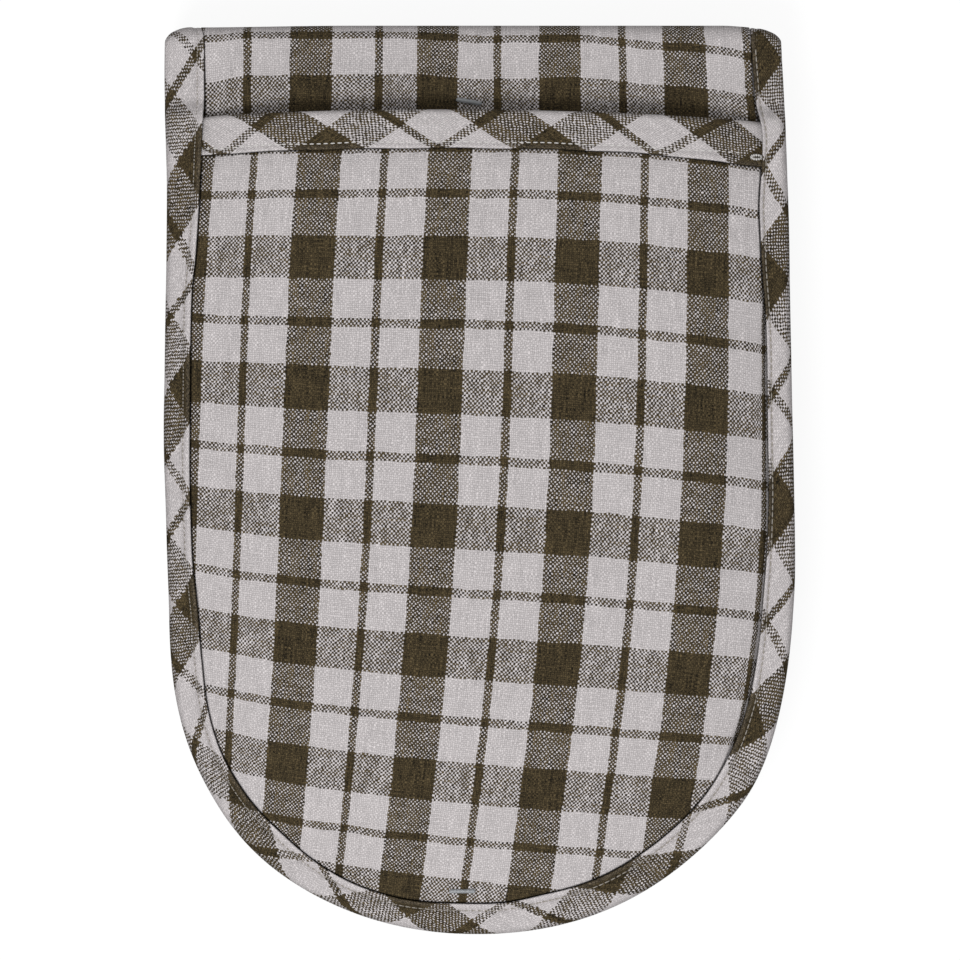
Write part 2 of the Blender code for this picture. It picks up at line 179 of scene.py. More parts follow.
def as_laid(x, y):
    """X as the glove lies: shifted as its left side is, as its right side is, or in between."""
    left, right = (np.interp(y, LAID_STATIONS / 1000, shift) for shift in LAID_SHIFTS)
    half = np.maximum(HALF_WIDTH * bow(ramp(END_Y - y, 0, END_DEPTH)), 0.03)
    return x + left + (right - left) * np.clip(0.5 + x / (2 * half), 0, 1)


def on_stretch(x, y, height, stretch):
    """Points at a height above the strip's middle, turned over where the face cloth is below."""
    level, side, bend = STRETCHES[stretch]
    height = height - bend * ramp(END_Y - y, 0, END_DEPTH) ** 2
    return np.stack(np.broadcast_arrays(as_laid(x, y), y, level + side * height), axis=-1)


def on_fold(x, turn, height, fold):
    """Points on a half turn about the fold's axis, at its radius and a height outwards. The bulge
    flattens towards the sides, where the folded corners are round."""
    axis_y, axis_z, bulge, face_out, _, _ = FOLDS[fold]
    radius = FOLD_RADIUS + face_out * height
    corner = np.sqrt(1 - 0.92 * np.where(x < 0, ramp(-x, 0.0805, 0.009), ramp(x, 0.0770, 0.0125)) ** 2)
    sag = 0.0005 * eased(ramp(-x, 0.035, 0.045)) + 0.0004 * eased(ramp(x, 0.072, 0.008))
    y = axis_y + bulge * (radius * corner - sag) * np.sin(turn)
    return np.stack(np.broadcast_arrays(as_laid(x, y), y, axis_z + radius * np.cos(turn)), axis=-1)


def quads(index):
    """The faces of a grid of vertex numbers."""
    corners = [index[:-1, :-1], index[1:, :-1], index[1:, 1:], index[:-1, 1:]]
    return np.stack(corners, axis=-1).reshape(-1, 4)


def mesh_of(name, points, faces):
    """A mesh of an array of points, with a list of faces."""
    mesh = bpy.data.meshes.new(name)
    mesh.from_pydata(points.reshape(-1, 3).tolist(), [], faces)
    return mesh


def linked(name, data):
    """An object in the scene, at the origin."""
    made = bpy.data.objects.new(name, data)
    bpy.context.scene.collection.objects.link(made)
    return made


def shell(name, outer, inner, threads, welded=False, painted_sheen_and_shade=None):
    """A closed piece between an outer and an inner grid of points, with a rim between their edges. The
    grids are mirrored if their normals point inwards. The map called threads counts the warp and weft
    threads at each point. If welded, the last column is a middle line, where the grid meets itself."""
    normal = np.cross(np.gradient(outer, axis=0), np.gradient(outer, axis=1))
    if np.sum(normal * (outer - inner)) < 0:
        outer, inner, threads = outer[::-1], inner[::-1], threads[::-1]
        painted_sheen_and_shade = None if painted_sheen_and_shade is None else painted_sheen_and_shade[::-1]
    rows, columns = outer.shape[:2]
    count = rows * columns
    index = np.arange(count).reshape(rows, columns)
    ring = np.concatenate([index[:-1, 0], index[-1, :-1], index[:0:-1, -1], index[0, :0:-1]])
    following = np.roll(ring, -1)
    rim = np.stack([following, ring, ring + count, following + count], axis=-1)
    if welded:
        rim = np.delete(rim, np.arange(rows + columns - 2, 2 * rows + columns - 3), axis=0)
    faces = quads(index)
    faces = np.concatenate([faces, faces[:, ::-1] + count, rim]).tolist()
    mesh = mesh_of(name, np.stack([outer, inner]), faces)
    used = np.empty(len(mesh.loops), dtype=np.int32)
    mesh.loops.foreach_get("vertex_index", used)
    counted = mesh.uv_layers.new(name="threads")
    counted.data.foreach_set("uv", threads.reshape(-1, 2)[used % count].astype(np.float32).ravel())
    # The painted highlight and painted shade by the binding lips go into a point attribute.
    if painted_sheen_and_shade is not None:
        painted_light_layer = mesh.attributes.new("painted_sheen_and_shade", "FLOAT", "POINT")
        painted_light_layer.data.foreach_set("value", np.tile(painted_sheen_and_shade.ravel(), 2).astype(np.float32))
    if welded:
        whole = bmesh.new()
        whole.from_mesh(mesh)
        bmesh.ops.remove_doubles(whole, verts=whole.verts, dist=1e-7)
        whole.to_mesh(mesh)
        whole.free()
    mesh.shade_smooth()
    mesh.set_sharp_from_angle(angle=math.radians(60))
    return mesh


def piece(mesh, finish, nodes=()):
    """The mesh as a piece of the glove, with its finish; the parts of the record that it stands for are
    hidden.
    """
    made = linked(mesh.name, mesh)
    mesh.materials.append(finish)
    if nodes:
        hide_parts(*nodes)
    return made


def carry(made, part):
    """A flat stretch's piece rides on its body. A fold's piece has its transform baked into its mesh and
    stays where it is."""
    if part in BODIES:
        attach(made, BODIES[part])
    else:
        axis_y, _, _, _, below, above = FOLDS[part]
        start, end = ((0, axis_y, STRETCHES[stretch][0]) for stretch in (below, above))
        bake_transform(made)
        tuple(start)
        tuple(end)


def reckoned(operation):
    """A socket's method: a Math node that takes the socket and whatever else it is given."""
    return lambda *values: values[0].finish.node("Math", {"operation": operation}, dict(enumerate(values)))


class Socket:
    """An output of a material's nodes, which can be reckoned with as a number can."""

    def __init__(self, finish, output):
        self.finish = finish
        self.output = output

    def __rsub__(self, other):
        return reckoned("MULTIPLY_ADD")(self, -1, other)

    __add__ = __radd__ = reckoned("ADD")
    __sub__ = reckoned("SUBTRACT")
    __mul__ = __rmul__ = reckoned("MULTIPLY")
    __lt__ = reckoned("LESS_THAN")
    __gt__ = reckoned("GREATER_THAN")
    __mod__ = reckoned("FLOORED_MODULO")
    __abs__ = reckoned("ABSOLUTE")
    floor = reckoned("FLOOR")
    cosine = reckoned("COSINE")


class Finish:
    """A material that is being put together, node by node."""

    def __init__(self, name, roughness):
        self.material = bpy.data.materials.new(name)
        self.material.use_nodes = True
        self.tree = self.material.node_tree
        self.shader = self.tree.nodes["Principled BSDF"]
        self.shader.inputs["Roughness"].default_value = roughness

    def put(self, socket, value):
        if isinstance(value, Socket):
            self.tree.links.new(value.output, socket)
        else:
            socket.default_value = value

    def node(self, kind, settings=None, sockets=None, output=0):
        """A node of the kind: its settings, then the values or links of its sockets."""
        made = self.tree.nodes.new("ShaderNode" + kind)
        for setting, value in (settings or {}).items():
            setattr(made, setting, value)
        for socket, value in (sockets or {}).items():
            self.put(made.inputs[socket], value)
        return Socket(self, made.outputs[output])

    def vector(self, x, y, z=0.0):
        return self.node("CombineXYZ", None, {0: x, 1: y, 2: z})

    def parts(self, vector):
        return [self.node("SeparateXYZ", None, {0: vector}, part) for part in range(3)]

    def place(self):
        return self.node("TexCoord", None, None, 3)

    def noise(self, vector, scale, detail=2.0, output=0):
        sockets = {"Vector": vector, "Scale": scale, "Detail": detail}
        return self.node("TexNoise", None, sockets, output)

    def between(self, value, low, high):
        """0 at low, 1 at high, eased between."""
        sockets = {0: value, 1: low, 2: high, 3: 0.0, 4: 1.0}
        return self.node("MapRange", {"interpolation_type": "SMOOTHSTEP"}, sockets)

    def mixed(self, share, one, other):
        """Colour one at share 0, the other at share 1."""
        return self.node("Mix", {"data_type": "RGBA"}, {0: share, 6: one, 7: other}, 2)

    def dimmed(self, colour, share):
        return self.node("VectorMath", {"operation": "SCALE"}, {0: colour, "Scale": share})

    def use(self, colour, height, distance, strength):
        self.put(self.shader.inputs["Base Color"], colour)
        sockets = {"Height": height, "Distance": distance, "Strength": strength}
        self.put(self.shader.inputs["Normal"], self.node("Bump", None, sockets))
        return self.material


WARP_REPEAT = 66
WEFT_REPEAT = 60
WARP_LEAD = 0.16
DARK_LEAD = 0.20
LIGHT_YARN = (0.702, 0.659, 0.661, 1)
DARK_YARN = (0.075, 0.055, 0.0268, 1)


def in_repeat(number, repeat):
    """How far a thread is from the middle of the wide stripe, by its number and the check's repeat."""
    return abs((number + 0.5 + repeat / 2) % repeat - repeat / 2)


def woven(finish, dark_lead):
    """A plain weave in the check, from the threads map. Warp and weft take turns on top. The warp shows
    more, as its threads are thicker, and so does dark yarn. Of 66 warp threads 22 and 4 are dark, and of
    60 weft threads 20 and 4. Returns 1 where the yarn that shows is dark, how far up its float a place
    is, and how uneven the yarn is there."""
    u, v, _ = finish.parts(finish.node("UVMap", {"uv_map": "threads"}))
    drift = finish.parts(finish.noise(finish.vector(u * 0.06, v * 0.06), 1.0, 2.0, 1))
    shake = finish.parts(finish.noise(finish.vector(u * 0.4, v * 0.4, 5.0), 1.0, 1.0, 1))
    u = u + (drift[0] - 0.5) * 1.4 + (shake[0] - 0.5) * 1.3
    v = v + (drift[1] - 0.5) * 1.4 + (shake[1] - 0.5) * 1.3
    warp = u.floor()
    weft = v.floor()
    crown = ((u - warp - 0.5) * math.pi).cosine() * ((v - weft - 0.5) * math.pi).cosine()
    warp_slub = finish.noise(finish.vector(warp * 3.7, v * 0.09, 3.0), 1.0, 3.0)
    weft_slub = finish.noise(finish.vector(u * 0.09, weft * 3.7, 7.0), 1.0, 3.0)
    crease = finish.noise(finish.vector((u + v) * 0.7, (u - v) * 0.05, 11.0), 1.0, 1.0)
    in_warp = in_repeat(warp, WARP_REPEAT)
    in_weft = in_repeat(weft, WEFT_REPEAT)
    dark_warp = (in_warp < 11.0) + (in_warp > 31.0)
    dark_weft = (in_weft < 10.0) + (in_weft > 28.0)
    over = crown * (1.0 - (warp + weft) % 2.0 * 2.0) + (dark_warp - dark_weft) * dark_lead + WARP_LEAD
    over = over + (warp_slub - weft_slub) * 0.9 + (crease - 0.5) * 0.7
    warp_up = over > 0.0
    dark = dark_weft + warp_up * (dark_warp - dark_weft)
    slub = weft_slub + warp_up * (warp_slub - weft_slub)
    return dark, finish.between(abs(over), 0.0, 0.75), slub


def check_finish(name):
    """Painted shade darkens the yarn down the sides of a float. Its slubs and fluff lighten and darken it,
    and show more on the dark yarn. By the attribute map the ridge of a binding's lip gets a painted
    highlight, for the sheen of the rolled cloth, and the cloth deep beside and under the lip gets painted
    shade."""
    finish = Finish(name, 0.92)
    finish.shader.inputs["Specular IOR Level"].default_value = 0.2
    dark, crest, slub = woven(finish, DARK_LEAD)
    # Painted highlight and painted shade, read from the mesh's attribute.
    painted_sheen_and_shade = finish.node("Attribute", {"attribute_name": "painted_sheen_and_shade"}, None, 2)
    fluff = finish.noise(finish.place(), 4300.0)
    rough = (slub - 0.5) * 0.8 + (fluff - 0.5) * 0.9
    # Depth of the painted shade down the sides of a float: deeper on dark yarn.
    painted_float_shade = 0.33 + dark * 0.22
    light = (crest * painted_float_shade + (1.0 - painted_float_shade)) * (1.03 + rough * (1.0 + dark * 3.6) + painted_sheen_and_shade * 0.10)
    colour = finish.dimmed(finish.mixed(dark * (1.0 - painted_sheen_and_shade * 0.05), LIGHT_YARN, DARK_YARN), light)
    return finish.use(colour, crest + rough * 0.6, 0.00022, 0.5)


check_cloth = check_finish("check_cloth")


def polynomial(rows, x, y):
    """The sum of each share, times x to the power of its row, times y to the power of its place there."""
    return sum(share * x**i * y**j for i, row in enumerate(rows) for j, share in enumerate(row))


# How the check lies on the strip over the front fold, in repeats: across and down, against the way from
# the glove's middle in half widths, and from STRIP_MIDDLE up in 20 mm.
STRIP_ACROSS = [(1.3477, -0.0040), (2.5784, 0.0169), (-0.0427, 0.0283), (-0.1423, 0.0047), (0.0878,)]
STRIP_DOWN = [(0.9859, -0.0091), (-0.0367, -0.0200), (-0.0915, 0.0358), (-0.0655, -0.0219), (-0.0333,)]
STRIP_MIDDLE = 0.110
STRIP_REPEAT = 0.0344
# Where its threads run closer or wider still: millimetres from the middle, thousandths of a repeat.
STRIP_DRIFT = {
    "across": [
        (-68, -3), (-65, -5), (-54, 14), (-43, 25), (-30, -23), (-28, -25), (-18, 0), (-6, -2), (4, 7),
        (6, 8), (17, 0), (29, -4), (40, -5), (52, 7), (65, 4), (75, 4),
    ],
    "down": [
        (-76, 4), (-62, -2), (-43, 1), (-33, 8), (-23, 12), (-16, 9), (-9, -9), (-4, -18), (1, -23),
        (7, -13), (13, -9), (20, 2), (25, 15), (31, 12), (37, 7), (43, -2), (49, -10), (55, -9),
        (60, 6), (71, 6), (76, -10),
    ],
}  # fmt: skip


def strip_threads(x, run):
    """Thread counts on the strip, where run is the way along the strip from the glove's middle."""
    wide = x / HALF_WIDTH
    along = run - STRIP_MIDDLE
    high = np.clip(along / 0.020, -1, 1)
    left, right = (eased(ramp(hand * wide, 0.72, 0.15)) for hand in (-1, 1))
    across = polynomial(STRIP_ACROSS, wide, high) - 0.0432 * left + 0.0092 * right
    down = polynomial(STRIP_DOWN, wide, high) - 0.0504 * left + 0.0063 * right - along / STRIP_REPEAT
    drift = [np.interp(x * 1000, *np.array(knots).T) / 1000 for knots in STRIP_DRIFT.values()]
    return np.stack([WARP_REPEAT * (across + drift[0]), WEFT_REPEAT * (down + drift[1])], axis=-1)


def closer(columns):
    """Columns from -1 to 1 that stand closer at the sides, by the sine."""
    return np.sin(math.pi / 2 * np.linspace(-1, 1, columns))[None, :]


def panel_ends(top, spread):
    """Y where a panel with a round end begins and ends, at a place from -1 to 1 across it."""
    return top(spread * (HALF_WIDTH - EDGE_INSET)), END_Y - (END_DEPTH - EDGE_INSET) * bow(spread)


def panel_grid(top, rows, columns):
    """Coarse places on a panel with a round end. Each column runs from its top line to the round end."""
    spread = closer(columns)
    high, low = panel_ends(top, spread)
    y = high + np.linspace(0, 1, rows)[:, None] * (low - high)
    return spread * (half_width(y) - EDGE_INSET), y


# Where the front binding's inner lip was sewn: way along the outline and inset, in millimetres.
FRONT_LIP = np.array([
    (0, 11.5), (17, 11.5), (36, 10.0), (60, 8.7), (71, 7.6), (88, 7.5), (110, 7.7), (130, 7.2),
    (148, 7.3), (165, 8.7), (180, 9.0), (194, 8.4), (207, 8.0), (225, 8.3), (240, 9.2), (268, 8.0),
    (284, 8.1), (300, 9.0), (315, 8.9), (326, 9.8), (345, 9.4), (371, 10.0), (395, 10.2), (413, 9.7),
    (422, 9.4), (433, 9.4), (457, 9.0), (464, 8.4), (481, 7.5), (495, 7.4), (524, 7.1), (535, 7.3),
    (546, 8.1), (565, 8.7), (576, 7.4), (587, 6.8), (593, 8.4), (612, 8.8),
]) / 1000  # fmt: skip
LIP_STATIONS = np.linspace(0, WHOLE_WAY, 613)
LIP_INSETS = smoothed(LIP_STATIONS, 4, *FRONT_LIP.T)


def lip(way, stretch):
    """Inset of the binding's inner lip on the face side: as sewn on the front end, wavy elsewhere."""
    if stretch == "front":
        return np.interp(way, LIP_STATIONS, LIP_INSETS)
    return BINDING_WIDTH + 0.0003 * np.sin(way / 0.023) + 0.0002 * np.sin(way / 0.0091)


def gentle(x, y, seed):
    """Uneven ground of height about 1: ten plane waves, 20 to 55 mm long, with seeded directions."""
    draw = np.random.default_rng(seed)
    turn = draw.uniform(0, math.pi, 10)[:, None, None]
    length = draw.uniform(0.020, 0.055, 10)[:, None, None]
    start = draw.uniform(0, 2 * math.pi, 10)[:, None, None]
    phase = 2 * math.pi * (np.cos(turn) * x + np.sin(turn) * y) / length + start
    return np.sin(phase).sum(axis=0) / math.sqrt(5)


def pad_half(inset, lip_inset, from_fold, quick=True):
    """Half the padded strip's thickness: pressed under the binding, it rises quickly beside the lip and
    slowly further in. Wadding only rises slowly. By a fold the cloth is taut and rises at once."""
    slow = eased(ramp(inset, lip_inset + 0.0006 * (not quick), SWELL_RUN))
    if not quick:
        return PRESSED_HALF + (PAD_HALF - PRESSED_HALF) * slow
    free = eased(ramp(from_fold, 0, 0.012))
    start = lip_inset + 0.0003 * free - 0.0002
    rise = eased(ramp(inset, start, FOLD_SWELL_RUN + 0.0001 * free))
    return PRESSED_HALF + (PAD_HALF - PRESSED_HALF) * (rise + 0.35 * free * (slow - 1) * rise)


def lines(lip_inset, reach, count=36):
    """Insets of a cloth's lines, from under its binding to its middle, at each of some stations. Nine
    stand close together from just under the lip, and the next spread out inwards."""
    start = lip_inset - 0.0002
    under = EDGE_INSET + (start - EDGE_INSET) * np.linspace(0, 1, 4)[None, :-1]
    beside = start + 0.00015 * np.arange(9)[None, :]
    last = beside[:, -1:]
    inner = last + (reach - last) * (np.arange(1, count + 1)[None, :] / count) ** 1.35
    return np.concatenate([under, beside, inner], axis=1)


# How deep the painted shade beside and under a binding's lip goes.
PAINTED_SHADE_DEPTH = 8.0


def lip_painted_shade(beyond):
    """Painted shade on a cloth beside a lip, by the way beyond it: fully under it, fading to 0."""
    return -PAINTED_SHADE_DEPTH * eased(1 - ramp(beyond, 0.00005, 0.0004))


def face_lip(way, stretch, side):
    """Inset of the lip over a face, side 1, or a backing, side -1."""
    return lip(way, stretch) if side > 0 else BINDING_WIDTH + 0 * way


def fan(rays_y, stretch, side, round_rays):
    """A panel with a round end, as rays from its edge. Those from its sides run in to its middle line,
    at the rays' Y for each X. Those from the round end meet in its centre."""
    halves = []
    for hand in (-1, 1):
        edge_y = rays_y(hand * HALF_WIDTH)
        way = FOLD_Y - edge_y if hand < 0 else WHOLE_WAY - FOLD_Y + edge_y
        x = hand * (half_width(edge_y) - lines(face_lip(way, stretch, side), half_width(edge_y)))
        halves.append((x, rays_y(x)))
    turn = np.linspace(0, math.pi, round_rays)[1:-1, None]
    reach = round_reach(turn)
    reach = reach - lines(face_lip(SIDE_WAY + ROUND_WAY * turn / math.pi, stretch, side), reach)
    x = np.concatenate([halves[0][0], -reach * np.cos(turn), halves[1][0][::-1]])
    return x, np.concatenate([halves[0][1], END_Y - reach * np.sin(turn), halves[1][1][::-1]])


def strip_grid(columns, places):
    """Coarse places on a part of the strip between two folds, or on a fold."""
    return np.broadcast_arrays((half_width(FOLD_Y) - EDGE_INSET) * closer(columns), places[:, None])


def strip_lines(left_lip, right_lip, places):
    """Fine places there, in lines that follow the binding's lips."""
    half = half_width(FOLD_Y)
    left, right = (half - lines(lip_inset, half + 0 * places) for lip_inset in (left_lip, right_lip))
    return np.broadcast_arrays(np.concatenate([-left, right[:, -2::-1]], axis=1), places)


def pad_grid(stretch, rows, columns):
    """Coarse places on a stretch of the strip: with a round end on the ends, else between the folds."""
    if stretch in ENDS:
        return panel_grid(lambda x: FOLD_Y + 0 * x, rows, columns)
    return strip_grid(columns, np.linspace(FOLD_Y, INNER_FOLD_Y, rows))


def pad_lines(stretch, side):
    """Fine places on a stretch of the strip, in lines that follow the binding's lip."""
    if stretch in ENDS:
        return fan(lambda x: 0 * x + np.linspace(FOLD_Y, END_Y, 150)[:, None], stretch, side, 230)
    y = np.linspace(FOLD_Y, INNER_FOLD_Y, 140)[:, None]
    lip_inset = face_lip(FOLD_Y - y, stretch, side)
    return strip_lines(lip_inset, lip_inset, y)


def pad_inset(stretch, x, y):
    """Inset, and way along the outline, of places on a stretch of the strip."""
    return from_edge(x, y) if stretch in ENDS else (half_width(FOLD_Y) - np.abs(x), FOLD_Y - y)


# The tag pins' bars on the front end: place and turn in degrees.
PINS = {"top": (-0.0016, 0.1080, -10), "bottom": (-0.0039, -0.1174, 0)}


def pin_dent(stretch, x, y, pin):
    """How deep a tag pin's bar draws the front end's cloth in, along its length."""
    at_x, at_y, _ = PINS[pin]
    return (stretch == "front") * 0.0007 * np.exp(-(((x - at_x) / 0.0048) ** 4) - ((y - at_y) / 0.0022) ** 2)


def pad_layer(stretch, side, depth, x, y, quick=True):
    """Points a depth inside the padded strip, from its face side, 1, or its backing side, -1."""
    inset, way = pad_inset(stretch, x, y)
    from_fold = FOLD_Y - y if stretch in ENDS else np.minimum(FOLD_Y - y, y - INNER_FOLD_Y)
    half = pad_half(inset, face_lip(way, stretch, side), from_fold, quick)
    uneven = 0.00016 * (gentle(x, y, 3 + side) - 1) * ramp(inset, 0.012, 0.02) * ramp(from_fold, 0, 0.012)
    dent = pin_dent(stretch, x, y, "top") if side > 0 else 0.0
    return on_stretch(x, y, side * (half - depth + uneven - dent), stretch)


FOLD_ROWS = 33
OUTER_ARC = math.pi * (FOLD_RADIUS + PAD_HALF)
CENTRE_RUN = FOLD_Y - INNER_FOLD_Y
STRIP_STARTS = {
    "front": 0.0,
    "centre_front": 2 * FOLD_Y + OUTER_ARC,
    "centre_back": FOLD_Y + OUTER_ARC + CENTRE_RUN - INNER_FOLD_Y,
    "back": 3 * FOLD_Y + 2 * OUTER_ARC + 2 * CENTRE_RUN,
}


def strip_run(stretch, y):
    """Way along the strip's face cloth, from the glove's middle up over the front fold and on."""
    return STRIP_STARTS[stretch] + STRETCHES[stretch][1] * y


def fold_run(fold, radius, turn):
    """Way along the strip on a fold, at a radius, against the turn down from the upper stretch."""
    axis_y, _, bulge, _, _, above = FOLDS[fold]
    return strip_run(above, axis_y) + STRETCHES[above][1] * bulge * radius * turn


def fold_lip(fold, x, turn, side=1):
    """Inset of the lip on a fold, to the left or right. Over the face, side 1, it eases from the stretch
    above to the one below."""
    if side < 0:
        return BINDING_WIDTH + 0 * turn
    above = FOLDS[fold][5]
    upper = np.where(x < 0, lip(0.0, above), lip(WHOLE_WAY, above))
    return upper + (BINDING_WIDTH - upper) * eased(turn / math.pi)


def fold_layer(fold, side, depth, x, turn, quick=True):
    """Points a depth inside a fold of the strip, from its face side, 1, or its backing side, -1."""
    inset = half_width(FOLD_Y) - np.abs(x)
    half = pad_half(inset, fold_lip(fold, x, turn, side), 0.0, quick)
    return on_fold(x, turn, side * (half - depth), fold)


def pad_node(stretch, kind):
    """The node of the record for a layer of a stretch."""
    return f"{stretch}_pad_{kind}" if stretch in ENDS else f"{stretch}_{kind}"


def strip_cloths(kind, side, finish):
    """The lengths of the strip's face cloth, side 1, or backing cloth, side -1: four flat, three folded."""
    for stretch, body in BODIES.items():
        x, y = pad_lines(stretch, side)
        outer, inner = (pad_layer(stretch, side, depth, x, y) for depth in (0.0, CLOTH))
        threads = strip_threads(as_laid(x, y), strip_run(stretch, y))
        inset, way = pad_inset(stretch, x, y)
        # Painted shade on the cloth beside the binding's lip.
        dark = lip_painted_shade(inset - face_lip(way, stretch, side))
        is_end = stretch in ENDS
        mesh = shell(f"{stretch}_{kind}_cloth", outer, inner, threads, welded=is_end, painted_sheen_and_shade=dark)
        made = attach(piece(mesh, finish, [pad_node(stretch, kind)]), body)
        size = {"flat": (0.1748, 0.2520), "area": 0.0406} if is_end else {"flat": (0.1718, 0.1532)}
    for fold, (_, _, _, face_out, _, _) in FOLDS.items():
        turn = np.linspace(0, math.pi, FOLD_ROWS)[:, None]
        x, turn = strip_lines(*(fold_lip(fold, hand, turn, side) for hand in (-1, 1)), turn)
        outer, inner = (fold_layer(fold, side, depth, x, turn) for depth in (0.0, CLOTH))
        radius = FOLD_RADIUS + face_out * side * PAD_HALF
        threads = strip_threads(outer[:, :, 0], fold_run(fold, radius, turn))
        mesh = shell(f"{fold}_{kind}_cloth", outer, inner, threads)
        made = piece(mesh, finish, [f"{fold}_{kind}"])
        carry(made, fold)
        arc = math.pi * radius
        size = {"flat": (0.1700, max(0.010, arc)), "area": 0.1700 * max(0.00301, arc)}


strip_cloths("face", 1, check_cloth)


# Wadding of the strip: white cotton batting, one layer about 3.4 mm thick, pressed to 1 mm where the
# binding holds its edge. It is laid loose between face and backing, and goes round the folds with them.

WADDING_DEPTH = CLOTH + LAYER_GAP


def batting_finish(name):
    """Matted fibres in clumps, dimmed a little by painted shade in the hollows between them."""
    finish = Finish(name, 0.95)
    fibres = finish.noise(finish.place(), 900.0, 5.0)
    clumps = finish.noise(finish.place(), 140.0, 3.0)
    colour = finish.dimmed((0.80, 0.79, 0.76), 0.82 + (fibres - 0.5) * 0.5)
    return finish.use(colour, fibres + clumps * 1.5, 0.0012, 0.6)


wadding = batting_finish("wadding")


def batt(name, node, layer, part, places):
    """Wadding between the cloths of a part of the strip, or of a pocket."""
    upper, lower = (layer(part, side, WADDING_DEPTH, *places, False) for side in (1, -1))
    made = piece(shell(name, upper, lower, upper[:, :, :2] * 1000), wadding, [node])
    carry(made, part)


for stretch in BODIES:
    batt(f"{stretch}_batt", pad_node(stretch, "wadding"), pad_layer, stretch, pad_grid(stretch, 60, 60))

for fold in FOLDS:
    places = strip_grid(60, np.linspace(0, math.pi, FOLD_ROWS))
    batt(f"{fold}_batt", f"{fold}_wadding", fold_layer, fold, places)


# Backing of the strip: the check again, the side that lies against the palm inside the pockets and
# shows between the hands when the glove is open. It is sewn in with the binding only.

strip_cloths("backing", -1, check_cloth)


# Wadding of the two pockets: the same batting, one layer about 2.4 mm thick in the panel over the back of
# the hand. The pocket's panels stand off the strip by a hand's gap, and are sewn into the edge with it.

POCKET_HALF = 0.0020
EDGE_LEVEL = 0.0029
CORNER_LEVEL = 0.0038
HAND_LEVEL = 0.0097
RISE_RUN = 0.026
MOUTH_Y = 0.1045
MOUTH_WIDTH = 0.0108
MOUTH_RUN = 0.006
POCKET_TOP_INSET = 0.0025
# The cloth simulation: how far in the seams hold the panel, and its frames.
HELD_RIM = 0.0125
SETTLING = 36
# How far each pocket's mouth lifts from its hand level, and a seed for how its panel settles.
POCKETS = {"front": (0.0003, 11), "back": (-0.0008, 12)}


def mouth_width(x):
    """Width of the mouth's binding: even to the left, and wider where its seam runs off at the right."""
    return MOUTH_WIDTH + 0.0003 + 0.0018 * ramp(x, 0.03, 0.045) ** 2 + 0.00012 * np.sin(x / 0.0041)


def mouth_seam(x):
    """How far the mouth's seam runs from its lip: it draws away from it at the right."""
    return 0.0018 + 0.0016 * ramp(x, 0.04, 0.035) ** 2


def mouth_y(x):
    """The mouth's edge: a shallow arch, highest a little left of the middle."""
    return MOUTH_Y + 0.00085 - 0.39 * (x + 0.010) ** 2


def pocket_top(x):
    """Y of the top edge of a pocket's layers, inside the mouth's binding."""
    return mouth_y(x) - POCKET_TOP_INSET


def settled(stretch):
    """Heights by which a pocket's panel settles. Its cloth is a little larger than the seams round it
    allow, as wadding makes it, so a cloth simulation with slight pressure buckles it between them. The
    heights are on the grid of the panel's rows and columns."""
    x, y = panel_grid(pocket_top, 62, 52)
    inset, _ = from_edge(x, y)
    z = 0.0006 * gentle(x, y, POCKETS[stretch][1]) * ramp(inset, 0.010, 0.02)
    faces = quads(np.arange(x.size).reshape(x.shape)).tolist()
    panel = linked("settling", mesh_of("settling", np.stack([x, y, z], axis=-1), faces))
    held = (inset < HELD_RIM) | (mouth_y(x) - y < MOUTH_WIDTH)
    panel.vertex_groups.new(name="held").add(np.flatnonzero(held.ravel()).tolist(), 1.0, "REPLACE")
    cloth = panel.modifiers.new("settling", "CLOTH")
    settings = {
        "vertex_group_mass": "held", "quality": 8, "mass": 0.4, "tension_stiffness": 20,
        "compression_stiffness": 20, "shear_stiffness": 5, "bending_stiffness": 6, "shrink_min": -0.012,
        "use_pressure": True, "uniform_pressure_force": 0.15,
    }  # fmt: skip
    for setting, value in settings.items():
        setattr(cloth.settings, setting, value)
    cloth.settings.effector_weights.gravity = 0
    cloth.collision_settings.use_collision = False
    cloth.point_cache.frame_end = SETTLING
    for step in range(1, SETTLING + 1):
        bpy.context.scene.frame_set(step)
    shaped = panel.evaluated_get(bpy.context.evaluated_depsgraph_get()).to_mesh()
    place = np.empty(len(shaped.vertices) * 3)
    shaped.vertices.foreach_get("co", place)
    bpy.context.scene.frame_set(1)
    bpy.data.objects.remove(panel)
    return 0.0012 * np.tanh(place.reshape(*x.shape, 3)[:, :, 2] / 0.005)


SETTLED = {stretch: settled(stretch) for stretch in POCKETS}


def settled_at(stretch, x, y):
    """The settled height at places on the panel, between the four nearest points of its grid."""
    height = SETTLED[stretch]
    rows, columns = height.shape
    spread = np.clip(x / (half_width(y) - EDGE_INSET), -1, 1)
    high, low = panel_ends(pocket_top, spread)
    down = ramp(high - y, 0, high - low) * (rows - 1)
    across = (np.arcsin(spread) / math.pi + 0.5) * (columns - 1)
    row = np.minimum(down.astype(int), rows - 2)
    column = np.minimum(across.astype(int), columns - 2)
    left = height[row, column] + (height[row + 1, column] - height[row, column]) * (down - row)
    right = height[row, column + 1] + (height[row + 1, column + 1] - height[row, column + 1]) * (down - row)
    return left + (right - left) * (across - column)


def pocket_level(inset, lip_inset, below, lift):
    """The pocket's middle over the strip's: low at the edge, a hand's gap up further in. below is how
    far a place is below the mouth's edge."""
    near = 1 - ramp(below, MOUTH_WIDTH, MOUTH_RUN)
    edge = EDGE_LEVEL + (CORNER_LEVEL - EDGE_LEVEL) * near
    hand = HAND_LEVEL + lift * near
    return edge + (hand - edge) * np.sin(math.pi / 2 * ramp(inset, lip_inset, RISE_RUN))


